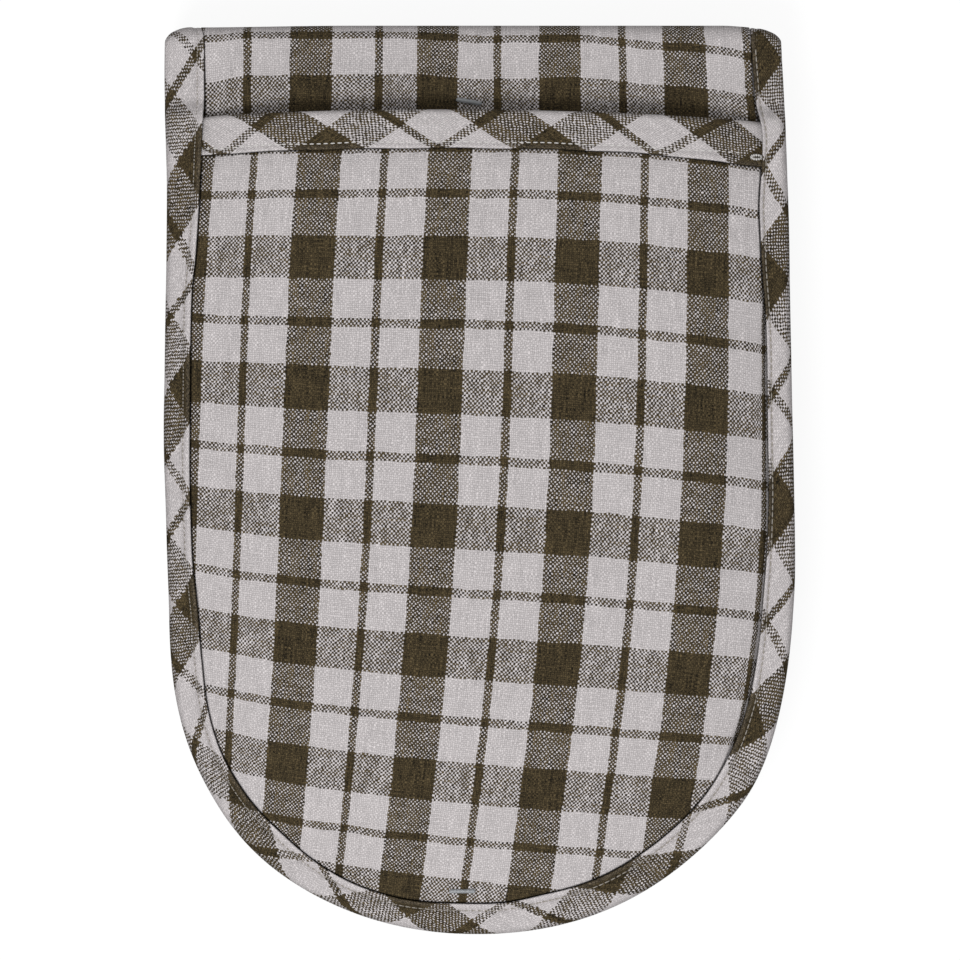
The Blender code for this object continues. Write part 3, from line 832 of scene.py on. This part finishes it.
def pocket_rays(x):
    """Y of a pocket's rays at each X, from its top edge to END_Y: close together by the mouth's lip."""
    ray = np.arange(151)[:, None]
    top = pocket_top(x)
    by_lip = mouth_y(x) - mouth_width(x) + 0.0006
    y = top + (by_lip - top) * ramp(ray, 0, 6) - 0.0002 * np.clip(ray - 6, 0, 8)
    return y + (END_Y - y) * ramp(ray, 14, 136)


def drawn_down(x, y):
    """1 low at the right side, where the cloth dives under the binding over a longer way."""
    return eased(ramp(x, 0.060, 0.010)) * eased(ramp(y, -0.085, 0.015)) * eased(1 - ramp(y, 0.040, 0.018))


def pocket_layer(stretch, side, depth, x, y, quick=False):
    """Points a depth inside a pocket's panel, from its outer side, 1, or its lining side, -1. The outer
    cloth rises quickly beside the lip and puffs up a little there. The back pocket lies on the table."""
    inset, way = from_edge(x, y)
    lip_inset = lip(way, stretch)
    below = mouth_y(x) - y
    if quick:
        dive = drawn_down(x, y)
        swell = eased(ramp(inset, lip_inset + 0.0003 * dive, 0.0006 + 0.0006 * dive))
        swell = swell + 0.9 * (swell - eased(ramp(inset, lip_inset + 0.001, 0.010)))
    else:
        swell = eased(ramp(inset, lip_inset + 0.0006, 0.003))
    swell = swell * eased(ramp(below, MOUTH_WIDTH, MOUTH_RUN))
    half = PRESSED_HALF + (POCKET_HALF - PRESSED_HALF) * swell
    level = pocket_level(inset, lip_inset, below, POCKETS[stretch][0]) + settled_at(stretch, x, y)
    if stretch == "front":
        middle = 0.0008 * eased(ramp(inset, 0.03, 0.055)) * eased(ramp(below, 0.02, 0.04))
        level = level + middle - pin_dent(stretch, x, y, "bottom")
    else:
        low, _, bend = STRETCHES[stretch]
        level = np.minimum(level, low + bend * ramp(END_Y - y, 0, END_DEPTH) ** 2 - half)
    return on_stretch(x, y, level + side * (half - depth), stretch)


for stretch in POCKETS:
    places = panel_grid(pocket_top, 62, 52)
    batt(f"{stretch}_pocket_batt", f"{stretch}_pocket_wadding", pocket_layer, stretch, places)


# Outer cloth of the pockets: the check again, cut so that it doesn't quite meet the strip's. It is what
# lies over the back of the hand.

# How the check lies on a pocket, in repeats across and down, against the way from the middle in half
# widths and half lengths. The last list is for near the sides and the tip, where it is drawn in more.
POCKET_ACROSS = [
    (1.3219, -0.1607, 0.1393, -0.1135, -0.0481),
    (2.3539, 0.0060, 0.1430, 0.0056),
    (-0.0203, 0.0359, -0.0059),
    (0.0364, -0.0689),
    (0.0218,),
]
POCKET_DOWN = [
    (1.6405, -3.3901, 0.1451, -0.2120, -0.1487),
    (-0.1077, 0.1377, -0.0130, 0.0125),
    (-0.0420, -0.1506, 0.0497),
    (-0.0983, 0.0004),
    (0.0202,),
]
NEAR_EDGE_ACROSS = [-0.0296, -0.0158, -0.0009, 0.0349, -0.0087, -0.0261]
NEAR_EDGE_DOWN = [-0.0015, -0.0292, 0.0070, 0.0057, 0.0356, -0.0198]
HALF_LENGTH = 0.130


def pocket_threads(x, y):
    """Thread counts on a pocket."""
    laid = as_laid(x, y)
    wide, high = laid / HALF_WIDTH, y / HALF_LENGTH
    left, right = (eased(ramp(hand * laid, 0.060, 0.016)) for hand in (-1, 1))
    tip = eased(ramp(-y, 0.090, 0.025))
    near = np.stack([left, left * high, right, right * high, tip, tip * wide], axis=-1)
    across = polynomial(POCKET_ACROSS, wide, high) + near @ NEAR_EDGE_ACROSS
    down = polynomial(POCKET_DOWN, wide, high) + near @ NEAR_EDGE_DOWN
    inset, way = from_edge(x, y)
    dive = (1 - ramp(inset, lip(way, "front"), 0.0040)) ** 1.5 * (1.15 - 0.75 * bump(y, -0.022, 0.030))
    across = across + 0.075 * dive * drawn_down(x, y)
    return np.stack([WARP_REPEAT * across, WEFT_REPEAT * down], axis=-1)


def pocket_cloths(kind, side, finish):
    """Both pockets' outer cloth, side 1, or lining, side -1."""
    for stretch in POCKETS:
        x, y = fan(pocket_rays, stretch, 1, 250) if side > 0 else panel_grid(pocket_top, 110, 90)
        outer, inner = (pocket_layer(stretch, side, depth, x, y, side > 0) for depth in (0.0, CLOTH))
        name = f"{stretch}_pocket_{kind}_cloth"
        inset, way = from_edge(x, y)
        # Painted shade on the outer cloth beside the edge binding's lip and under the mouth's binding.
        beyond = np.minimum(inset - lip(way, stretch), mouth_y(x) - mouth_width(x) - y)
        mesh = shell(name, outer, inner, pocket_threads(x, y), welded=side > 0, painted_sheen_and_shade=lip_painted_shade(beyond))
        node = f"{stretch}_pocket_{'cloth' if side > 0 else 'lining'}"
        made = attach(piece(mesh, finish, [node]), BODIES[stretch])


pocket_cloths("outer", 1, check_cloth)


# Lining of the pockets: plain unbleached cotton, against the back of the hand. It can be seen only by
# looking into the mouth.

NATURAL_YARN = (0.60, 0.545, 0.44)


def plain_finish(name):
    """The same plain weave without a check: unbleached, with seed flecks in the yarn, and painted shade down
    the sides of each float.
    """
    finish = Finish(name, 0.93)
    finish.shader.inputs["Specular IOR Level"].default_value = 0.2
    _, crest, slub = woven(finish, 0.0)
    fluff = finish.noise(finish.place(), 5200.0)
    flecks = finish.between(finish.noise(finish.place(), 900.0, 1.0), 0.72, 0.78)
    rough = (slub - 0.5) * 0.8 + (fluff - 0.5) * 0.6
    colour = finish.dimmed(NATURAL_YARN, (crest * 0.34 + 0.66) * (1.0 + rough - flecks * 0.25))
    return finish.use(colour, crest + rough * 0.6, 0.0002, 0.5)


lining_cloth = plain_finish("lining_cloth")
pocket_cloths("inner", -1, lining_cloth)


# Binding of the pocket mouths: a strip of the check cut at 45 degrees to the threads, folded over the
# raw edges of all three layers with its own edges turned under. One line of white stitches holds it.

BINDING_CLOTH = 0.00035
LIP_ROUND = 0.00045
HEM = 0.0018
LIP_RISE = 0.0006
SEAM_INSET = 0.0017
STITCH_PITCH = 0.0020
STITCH = 0.0017
MOUTH_REACH = 0.0022
MOUTH_NOSE = 0.0018
MOUTH_END = 0.0862
BIAS_RUN = 0.0428
# How the check lies on the mouth's binding: millimetres to the right, repeats of the check.
MOUTH_PHASES = [
    (-90, -0.75), (-74.3, -0.5), (-55.1, -0.18), (-43.1, 0), (-11.9, 0.5), (20.3, 1), (50.1, 1.5),
    (66, 1.74), (81, 2), (90, 2.15),
]  # fmt: skip


def binding_section(lip_inset, back_inset, top, bottom, nose, dent, seam=SEAM_INSET, rise=LIP_RISE):
    """A binding's cross-section at each station, from under its lip on the face side, round its nose, to
    under its lip on the backing side. dent is how deep the stitches draw it in. Returns inset, height and
    the way from the lip, then inset and height of the inner side, a cloth's thickness within."""
    values = np.broadcast_arrays(lip_inset, back_inset, top, bottom, dent, seam, rise)
    lip_inset, back_inset, top, bottom, dent, seam, rise = (value[:, None] for value in values)
    turn = np.linspace(-math.pi / 2, math.pi / 2, 7)[None, :]
    hem = np.linspace(1, 0, 4)[None, :-1]
    face = np.linspace(0, 1, 15)[None, 1:]
    round_nose = np.linspace(math.pi / 2, -math.pi / 2, 19)[None, 1:]
    middle, half = (top + bottom) / 2, (top - bottom) / 2
    straight, back_straight = lip_inset - LIP_ROUND, back_inset - LIP_ROUND
    crown = 0.0002 * np.sin(math.pi * face)
    back_turn = turn[:, 1:]
    spots = [
        (straight - HEM * hem, top - 2 * LIP_ROUND),
        (straight + LIP_ROUND * np.cos(turn), top - LIP_ROUND + LIP_ROUND * np.sin(turn)),
        (straight + (nose - straight) * face, top + crown),
        (nose - nose * np.cos(round_nose), middle + half * np.sin(round_nose)),
        (nose + (back_straight - nose) * face, bottom - crown),
        (back_straight + LIP_ROUND * np.cos(back_turn), bottom + LIP_ROUND + LIP_ROUND * np.sin(back_turn)),
        (back_straight - HEM * hem[:, ::-1], bottom + 2 * LIP_ROUND),
    ]
    pairs = zip(*(np.broadcast_arrays(*spot) for spot in spots))
    inset, height = (np.concatenate(parts, axis=1) for parts in pairs)
    height = height + rise * eased(ramp(inset, lip_inset - seam, seam * 0.6)) * (height > middle)
    height = height - rise * eased(ramp(inset, back_inset - SEAM_INSET, SEAM_INSET)) * (height < middle)
    number = np.arange(height.shape[1])
    on_top = (height > middle) & (number > 5)
    on_back = (height < middle) & (number < len(number) - 5)
    height = height - on_top * dent * bump(inset, lip_inset - seam, 0.0005)
    height = height + on_back * dent * bump(inset, back_inset - SEAM_INSET, 0.0007)
    step_in, step_up = np.gradient(inset, axis=1), np.gradient(height, axis=1)
    step = np.maximum(np.hypot(step_in, step_up), 1e-9)
    steps = [np.diff(line, axis=1, prepend=line[:, :1]) for line in (inset, height)]
    run = np.cumsum(np.hypot(*steps), axis=1)
    inner = inset - BINDING_CLOTH * step_up / step, height + BINDING_CLOTH * step_in / step
    return inset, height, run - run[:, 6:7], *inner


def lip_sheen_and_shade(way):
    """1 on the ridge between lip and stitches, a painted highlight for the sheen of the rolled cloth, and
    below 0 under the lip, painted shade.
    """
    return bump(way, 0.0008, 0.0006) - PAINTED_SHADE_DEPTH * eased(1 - ramp(way, 0.0001, 0.0004))


def on_mouth(x, below, height, stretch):
    """Points on a mouth's binding, by the way below its edge and the height over the pocket's middle."""
    y = mouth_y(x) - below
    inset, way = from_edge(x, y)
    level = pocket_level(inset, lip(way, stretch), 0 * y, POCKETS[stretch][0])
    return on_stretch(x, y, level + height, stretch)


for stretch in ENDS:
    x = np.linspace(-MOUTH_END, MOUTH_END, 175)
    dent = 0.00035 * (0.65 + 0.35 * np.cos(2 * math.pi * x / STITCH_PITCH))
    section = binding_section(
        mouth_width(x), MOUTH_WIDTH, MOUTH_REACH, -MOUTH_REACH, MOUTH_NOSE, dent, mouth_seam(x)
    )
    sides = [on_mouth(x[:, None], *pair, stretch) for pair in (section[:2], section[3:])]
    phase = np.interp(as_laid(x, MOUTH_Y) * 1000, *np.array(MOUTH_PHASES).T)[:, None]
    turn = section[2] / BIAS_RUN
    threads = np.stack([WARP_REPEAT * (phase + turn), WEFT_REPEAT * (phase - turn)], axis=-1)
    # The mouth's binding gets a painted highlight on its lip ridge and painted shade under its lip.
    mesh = shell(f"{stretch}_mouth_strip", *sides, threads, painted_sheen_and_shade=lip_sheen_and_shade(section[2]))
    made = piece(mesh, check_cloth, [f"{stretch}_mouth_binding"])
    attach(made, BODIES[stretch])


# Binding of the edge: one long strip of the check cut at 45 degrees, folded over the raw edges of strip
# and pockets all round and sewn through all layers. It hides their edges, and turns with the folds.

BINDING_OUT = 0.0025
CORNER_OUT = 0.0072
POCKET_OUT = 0.0054
NOSE = 0.0024
# How the check lies on the front end's edge binding. Every twentieth of the way: repeats of the check,
# whole where its dark squares meet the lip. Every eleventh: millimetres across it to a repeat, and how
# far the weft lags behind the warp.
BIAS_PHASES = [
    -0.485, -0.044, 0.376, 0.902, 1.390, 1.863, 2.375, 2.856, 3.325, 3.795, 4.320, 4.820, 5.280,
    5.772, 6.257, 6.744, 7.216, 7.670, 8.103, 8.595, 9.131,
]  # fmt: skip
BIAS_RUNS = [46.1, 43.3, 41.1, 47.5, 39.7, 41.3, 43.2, 44.5, 44.8, 44.7, 49.5, 42.0]
BIAS_LAGS = [-0.135, 0.067, -0.026, 0.036, 0.053, 0.073, 0.015, 0.028, -0.092, -0.128, 0.004, -0.107]
BIAS_REPEAT = 0.0634


def bias_threads(way, across):
    """Thread counts on the edge binding, by the way along it and the way across it from its lip."""
    share = way / WHOLE_WAY
    phase = np.interp(share * 20, np.arange(21), BIAS_PHASES)
    phase = phase + (np.minimum(way, 0) + np.maximum(way - WHOLE_WAY, 0)) / BIAS_REPEAT
    turn = 1000 * across / np.interp(share * 11, np.arange(12), BIAS_RUNS)
    lag = np.interp(share * 11, np.arange(12), BIAS_LAGS)
    return np.stack([WARP_REPEAT * (phase - turn), WEFT_REPEAT * (phase + turn + lag)], axis=-1)


def edge_top(way, stretch):
    """How far the edge binding reaches over the strip's middle on the face side: least by the fold, most
    beside the mouth's own binding, less along the pocket."""
    x, y = edge_spot(way, EDGE_INSET)
    below = mouth_y(x) - y
    onto_mouth = eased(ramp(below, -MOUTH_RUN, MOUTH_RUN))
    onto_pocket = eased(ramp(below, MOUTH_WIDTH, MOUTH_RUN))
    return BINDING_OUT + (CORNER_OUT - BINDING_OUT) * onto_mouth - (CORNER_OUT - POCKET_OUT) * onto_pocket


def seam_dent(way):
    """How deep the stitches draw the binding in: least where they lie on it, most where they dive."""
    return 0.0008 * (0.55 + 0.45 * np.cos(2 * math.pi * way / STITCH_PITCH))


def seam_inset(way):
    """How far the stitches run from the front lip: closer up the right side."""
    return 0.0020 - 0.0008 * eased(ramp(way, 0.40, 0.08))


def lip_rise(from_fold):
    """How far the lip stands up: not at all by a fold, where the cloth is taut."""
    return LIP_RISE * eased(ramp(from_fold, 0, 0.014))


def edge_strip(name, stations, lip_inset, top, spot, along, dent, seam=SEAM_INSET, rise=LIP_RISE):
    """A length of the edge binding. spot turns stations, insets and heights into points."""
    section = binding_section(lip_inset, BINDING_WIDTH, top, -BINDING_OUT, NOSE, dent, seam, rise)
    sides = [spot(stations[:, None], *pair) for pair in (section[:2], section[3:])]
    threads = bias_threads(along[:, None] + 0 * section[2], section[2])
    # The edge binding gets a painted highlight on its lip ridge and painted shade under its lip.
    mesh = shell(f"{name}_strip", *sides, threads, painted_sheen_and_shade=lip_sheen_and_shade(section[2]))
    return piece(mesh, check_cloth, [f"{name}_binding"])


def side_strips(part, stations, run, lips, place, dent, rise):
    """The edge bindings to the left and right of a part of the strip, from the way run along it."""
    for name, hand in (("left", -1), ("right", 1)):

        def spot(station, inset, height):
            return place(hand * (half_width(FOLD_Y) - inset), station, height, part)

        beyond = run - FOLD_Y
        along = WHOLE_WAY + beyond if hand > 0 else -beyond
        made = edge_strip(f"{part}_{name}", stations, lips(hand), BINDING_OUT, spot, along, dent, rise=rise)
        carry(made, part)


for stretch in ENDS:
    ways = np.linspace(0, WHOLE_WAY, 612 if stretch == "front" else 460)
    beyond = 0.0 if stretch == "front" else strip_run("back", FOLD_Y) - FOLD_Y

    def on_end(way, inset, height):
        return on_stretch(*edge_spot(way, inset), height, stretch)

    made = edge_strip(
        f"{stretch}_edge", ways, lip(ways, stretch), edge_top(ways, stretch), on_end, ways - beyond,
        seam_dent(ways), seam_inset(ways), lip_rise(np.minimum(ways, WHOLE_WAY - ways)),
    )  # fmt: skip
    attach(made, BODIES[stretch])

for stretch in ("centre_front", "centre_back"):
    y = np.linspace(FOLD_Y, INNER_FOLD_Y, 152)
    lip_inset = lip(y, stretch)
    rise = lip_rise(np.minimum(FOLD_Y - y, y - INNER_FOLD_Y))
    run = strip_run(stretch, y)
    side_strips(stretch, y, run, lambda hand: lip_inset, on_stretch, seam_dent(y), rise)

for fold in FOLDS:
    turn = np.linspace(0, math.pi, FOLD_ROWS)
    run = fold_run(fold, FOLD_RADIUS + FOLDS[fold][3] * BINDING_OUT, turn)
    side_strips(fold, turn, run, lambda hand: fold_lip(fold, hand, turn), on_fold, 0.0002, 0.0)


# Sewing thread: spun polyester. Taupe thread runs round the edge, through all layers, close to the
# lip of the binding. White thread runs along the mouths, and a white bar tack ends it at the right.

THREAD_ROUND = 0.00019


def thread_finish(name, tone):
    """Spun thread, lighter and darker with its fluff."""
    finish = Finish(name, 0.7)
    fluff = finish.noise(finish.place(), 4200.0)
    colour = finish.dimmed(tone, 0.75 + fluff * 0.5)
    return finish.use(colour, fluff, 0.0001, 0.3)


taupe_thread = thread_finish("taupe_thread", (0.36, 0.33, 0.29))
white_thread = thread_finish("white_thread", (0.74, 0.72, 0.70))


def stitches(name, starts, ends, up, finish, rounds=THREAD_ROUND):
    """Stitches from starts to ends, as closed six-sided capsules of thread whose ends dip into the
    cloth. up points away from the cloth."""
    stop = np.array([0.0, 0.1, 0.35, 0.65, 0.9, 1.0])
    size = np.array([0.5, 0.95, 1.05, 1.05, 0.95, 0.5]) * rounds
    dip = np.array([1.5, 0.5, 0.0, 0.0, 0.5, 1.5]) * rounds
    along = ends - starts
    aside = np.cross(along, up)
    aside /= np.linalg.norm(aside, axis=1, keepdims=True)
    turn = (2 * math.pi * np.arange(6) / 6)[None, None, :, None]
    ring = np.cos(turn) * aside[:, None, None] + np.sin(turn) * up[:, None, None]
    centre = starts[:, None] + along[:, None] * stop[None, :, None] - up[:, None] * dip[None, :, None]
    points = centre[:, :, None] + size[None, :, None, None] * ring
    index = np.arange(points.size // 3).reshape(len(starts), 6, 6)
    around = np.roll(index, -1, axis=2)
    sides = np.stack([index[:, :-1], index[:, 1:], around[:, 1:], around[:, :-1]], axis=-1).reshape(-1, 4)
    caps = np.concatenate([index[:, 0], index[:, -1, ::-1]])
    mesh = mesh_of(name, points, sides.tolist() + caps.tolist())
    mesh.shade_smooth()
    return piece(mesh, finish)


def steps_of(first, last, pitch, length):
    """Starts and ends of stitches of a length, spaced at a pitch between two ways."""
    middle = np.arange(first + pitch / 2, last - pitch / 4, pitch)
    return middle - length / 2, middle + length / 2


def seam(name, stretch, side, rows, finish, rounds=THREAD_ROUND):
    """Stitches on a stretch, from their starts and ends. side is 1 where they lie on it, -1 under it."""
    up = np.tile([0.0, 0.0, float(side)], (len(rows[0]), 1))
    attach(stitches(name, *rows, up, finish, rounds), BODIES[stretch])


SEAM_SUNK = 0.00018
for stretch in ENDS:
    side = STRETCHES[stretch][1]
    over, under = [], []
    for way in steps_of(0.0, WHOLE_WAY, STITCH_PITCH, STITCH):
        spot = edge_spot(way, lip(way, stretch) - seam_inset(way))
        over.append(on_stretch(*spot, edge_top(way, stretch) - SEAM_SUNK, stretch))
        spot = edge_spot(way, BINDING_WIDTH - SEAM_INSET)
        under.append(on_stretch(*spot, SEAM_SUNK - BINDING_OUT, stretch))
    seam(f"{stretch}_edge_seam", stretch, side, over, taupe_thread)
    seam(f"{stretch}_edge_seam_under", stretch, -side, under, taupe_thread)
    rows = []
    for x in steps_of(-0.080, 0.077, STITCH_PITCH, 0.0014):
        rows.append(on_mouth(x, mouth_width(x) - mouth_seam(x), MOUTH_REACH - 0.00005, stretch))
    seam(f"{stretch}_mouth_seam", stretch, side, rows, white_thread)
    turn = np.linspace(0, 2 * math.pi, 15)
    x = 0.0804 + 0.0017 * np.cos(turn)
    below = mouth_y(x) - 0.0919 - 0.0006 * np.sin(turn)
    ridge = eased(ramp(below, mouth_width(x) - mouth_seam(x), 0.6 * mouth_seam(x)))
    loop = on_mouth(x, below, MOUTH_REACH + 0.0001 + LIP_RISE * ridge, stretch)
    seam(f"{stretch}_bar_tack", stretch, side, (loop[:-1], loop[1:]), white_thread, 0.00038)

for stretch in ("centre_front", "centre_back"):
    for side, kind in ((1, "face"), (-1, "backing")):
        rows = []
        for y in steps_of(INNER_FOLD_Y, FOLD_Y, STITCH_PITCH, STITCH):
            x = half_width(FOLD_Y) - (face_lip(y, stretch, side) - SEAM_INSET)
            x = np.concatenate([-x, x])
            rows.append(on_stretch(x, np.tile(y, 2), side * (BINDING_OUT - SEAM_SUNK), stretch))
        seam(f"{stretch}_{kind}_seam", stretch, side * STRETCHES[stretch][1], rows, taupe_thread)

for fold, (axis_y, axis_z, _, face_out, _, _) in FOLDS.items():
    rows = []
    for turn in steps_of(0.0, math.pi, math.pi / 8, STITCH / (FOLD_RADIUS + BINDING_OUT)):
        hands = np.repeat([-1.0, 1.0], len(turn))
        turn = np.tile(turn, 2)
        x = hands * (half_width(FOLD_Y) - (fold_lip(fold, hands, turn, face_out) - SEAM_INSET))
        rows.append(on_fold(x, turn, face_out * (BINDING_OUT - SEAM_SUNK), fold))
    out = (rows[0] + rows[1]) / 2 - np.array([0, axis_y, axis_z])
    out[:, 0] = 0
    out /= np.linalg.norm(out, axis=1, keepdims=True)
    carry(stitches(f"{fold}_seam", *rows, out, taupe_thread), fold)
# Tag pins: two T bars of clear nylon, shot through the layers to hold them together for the shop. The
# bar lies on the cloth and dents it, and its filament goes down through the layers behind it.

PIN_BAR = 0.0075
PIN_ROUND = 0.00062
FILAMENT_ROUND = 0.0003


def tube(name, middle, rounds):
    """A round rod along a line of points, each with its own radius, closed at both ends."""
    along = np.gradient(middle, axis=0)
    along /= np.linalg.norm(along, axis=1, keepdims=True)
    away = np.cross(along, np.eye(3)[np.argmin(np.abs(along).max(axis=0))])
    away /= np.linalg.norm(away, axis=1, keepdims=True)
    other = np.cross(along, away)
    turn = 2 * math.pi * np.arange(16)[None, :, None] / 16
    ring = np.cos(turn) * away[:, None] + np.sin(turn) * other[:, None]
    points = middle[:, None] + rounds[:, None, None] * ring
    stops = len(middle)
    index = np.arange(stops * 16).reshape(stops, 16)
    around = np.roll(index, -1, axis=1)
    faces = np.stack([index[:-1], around[:-1], around[1:], index[1:]], axis=-1).reshape(-1, 4).tolist()
    mesh = mesh_of(name, points, faces + [index[0, ::-1].tolist(), index[-1].tolist()])
    mesh.shade_smooth()
    mesh.set_sharp_from_angle(angle=math.radians(60))
    return mesh


def nylon_finish(name):
    """Clear nylon, faintly milky, smooth, with a slight unevenness from the mould."""
    finish = Finish(name, 0.28)
    finish.shader.inputs["Transmission Weight"].default_value = 0.55
    finish.shader.inputs["IOR"].default_value = 1.5
    grain = finish.noise(finish.place(), 1800.0, 1.0)
    colour = finish.dimmed((0.62, 0.65, 0.68), 0.9 + grain * 0.2)
    return finish.use(colour, grain, 0.0001, 0.2)


tag_plastic = nylon_finish("tag_plastic")

for name, (x, y, turn) in PINS.items():
    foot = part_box(f"tag_pin_{name}")[0][2]
    layer = pad_layer if name == "top" else pocket_layer
    level = layer("front", 1, 0.0, np.array([[x]]), np.array([[y]]), True)[0, 0, 2] + 0.7 * PIN_ROUND
    stop = np.linspace(-1, 1, 25)
    way = np.array([math.cos(math.radians(turn)), math.sin(math.radians(turn)), 0.0])
    middle = np.array([as_laid(x, y), y, level]) + way * stop[:, None] * (PIN_BAR / 2)
    rounds = PIN_ROUND * np.sqrt(np.clip(1 - np.abs(stop) ** 24, 0.15, 1))
    made = piece(tube(f"tag_{name}_bar", middle, rounds), tag_plastic, [f"tag_pin_{name}"])
    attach(made, "front_end")
    down = np.linspace(level, foot, 12)
    line = np.stack([as_laid(x, y) + 0 * down, y + 0 * down, down], axis=-1)
    thread = tube(f"tag_{name}_filament", line, FILAMENT_ROUND + 0 * down)
    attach(piece(thread, tag_plastic), "front_end")


# Table, light and camera: a white ground seen from straight above. A large soft lamp stands overhead,
# a little to the front and left, in a bright room.

bpy.ops.mesh.primitive_plane_add(size=3.0, location=(0, 0, 0))
ground = bpy.context.object
ground.name = "ground"
paper = bpy.data.materials.new("paper")
paper.use_nodes = True
paper_shader = paper.node_tree.nodes["Principled BSDF"]
paper_shader.inputs["Base Color"].default_value = (0.14, 0.14, 0.14, 1)
paper_shader.inputs["Roughness"].default_value = 0.9
paper_shader.inputs["Emission Color"].default_value = (1, 1, 1, 1)
seen = paper.node_tree.nodes.new("ShaderNodeLightPath")
glow = paper.node_tree.nodes.new("ShaderNodeMath")
glow.operation = "MULTIPLY"
glow.inputs[1].default_value = 0.9
paper.node_tree.links.new(seen.outputs["Is Camera Ray"], glow.inputs[0])
paper.node_tree.links.new(glow.outputs[0], paper_shader.inputs["Emission Strength"])
ground.data.materials.append(paper)

world = bpy.data.worlds.new("studio")
bpy.context.scene.world = world
world.use_nodes = True
sky = world.node_tree.nodes["Background"]
sky.inputs["Color"].default_value = (1, 1, 1, 1)
sky.inputs["Strength"].default_value = 0.5

lamp_data = bpy.data.lights.new("lamp", "AREA")
lamp_data.size = 0.5
lamp_data.energy = 12.0
lamp = linked("lamp", lamp_data)
lamp.location = (-0.30, -0.62, 1.5)
lamp.rotation_euler = (Vector((0, 0, 0)) - lamp.location).to_track_quat("-Z", "Y").to_euler()

lens_data = bpy.data.cameras.new("camera")
lens_data.sensor_width = 36
lens_data.lens = 262.5
camera = linked("camera", lens_data)
camera.location = (0.00014, -0.00008, 2.030)
bpy.context.scene.camera = camera
bpy.context.scene.view_settings.view_transform = "Standard"
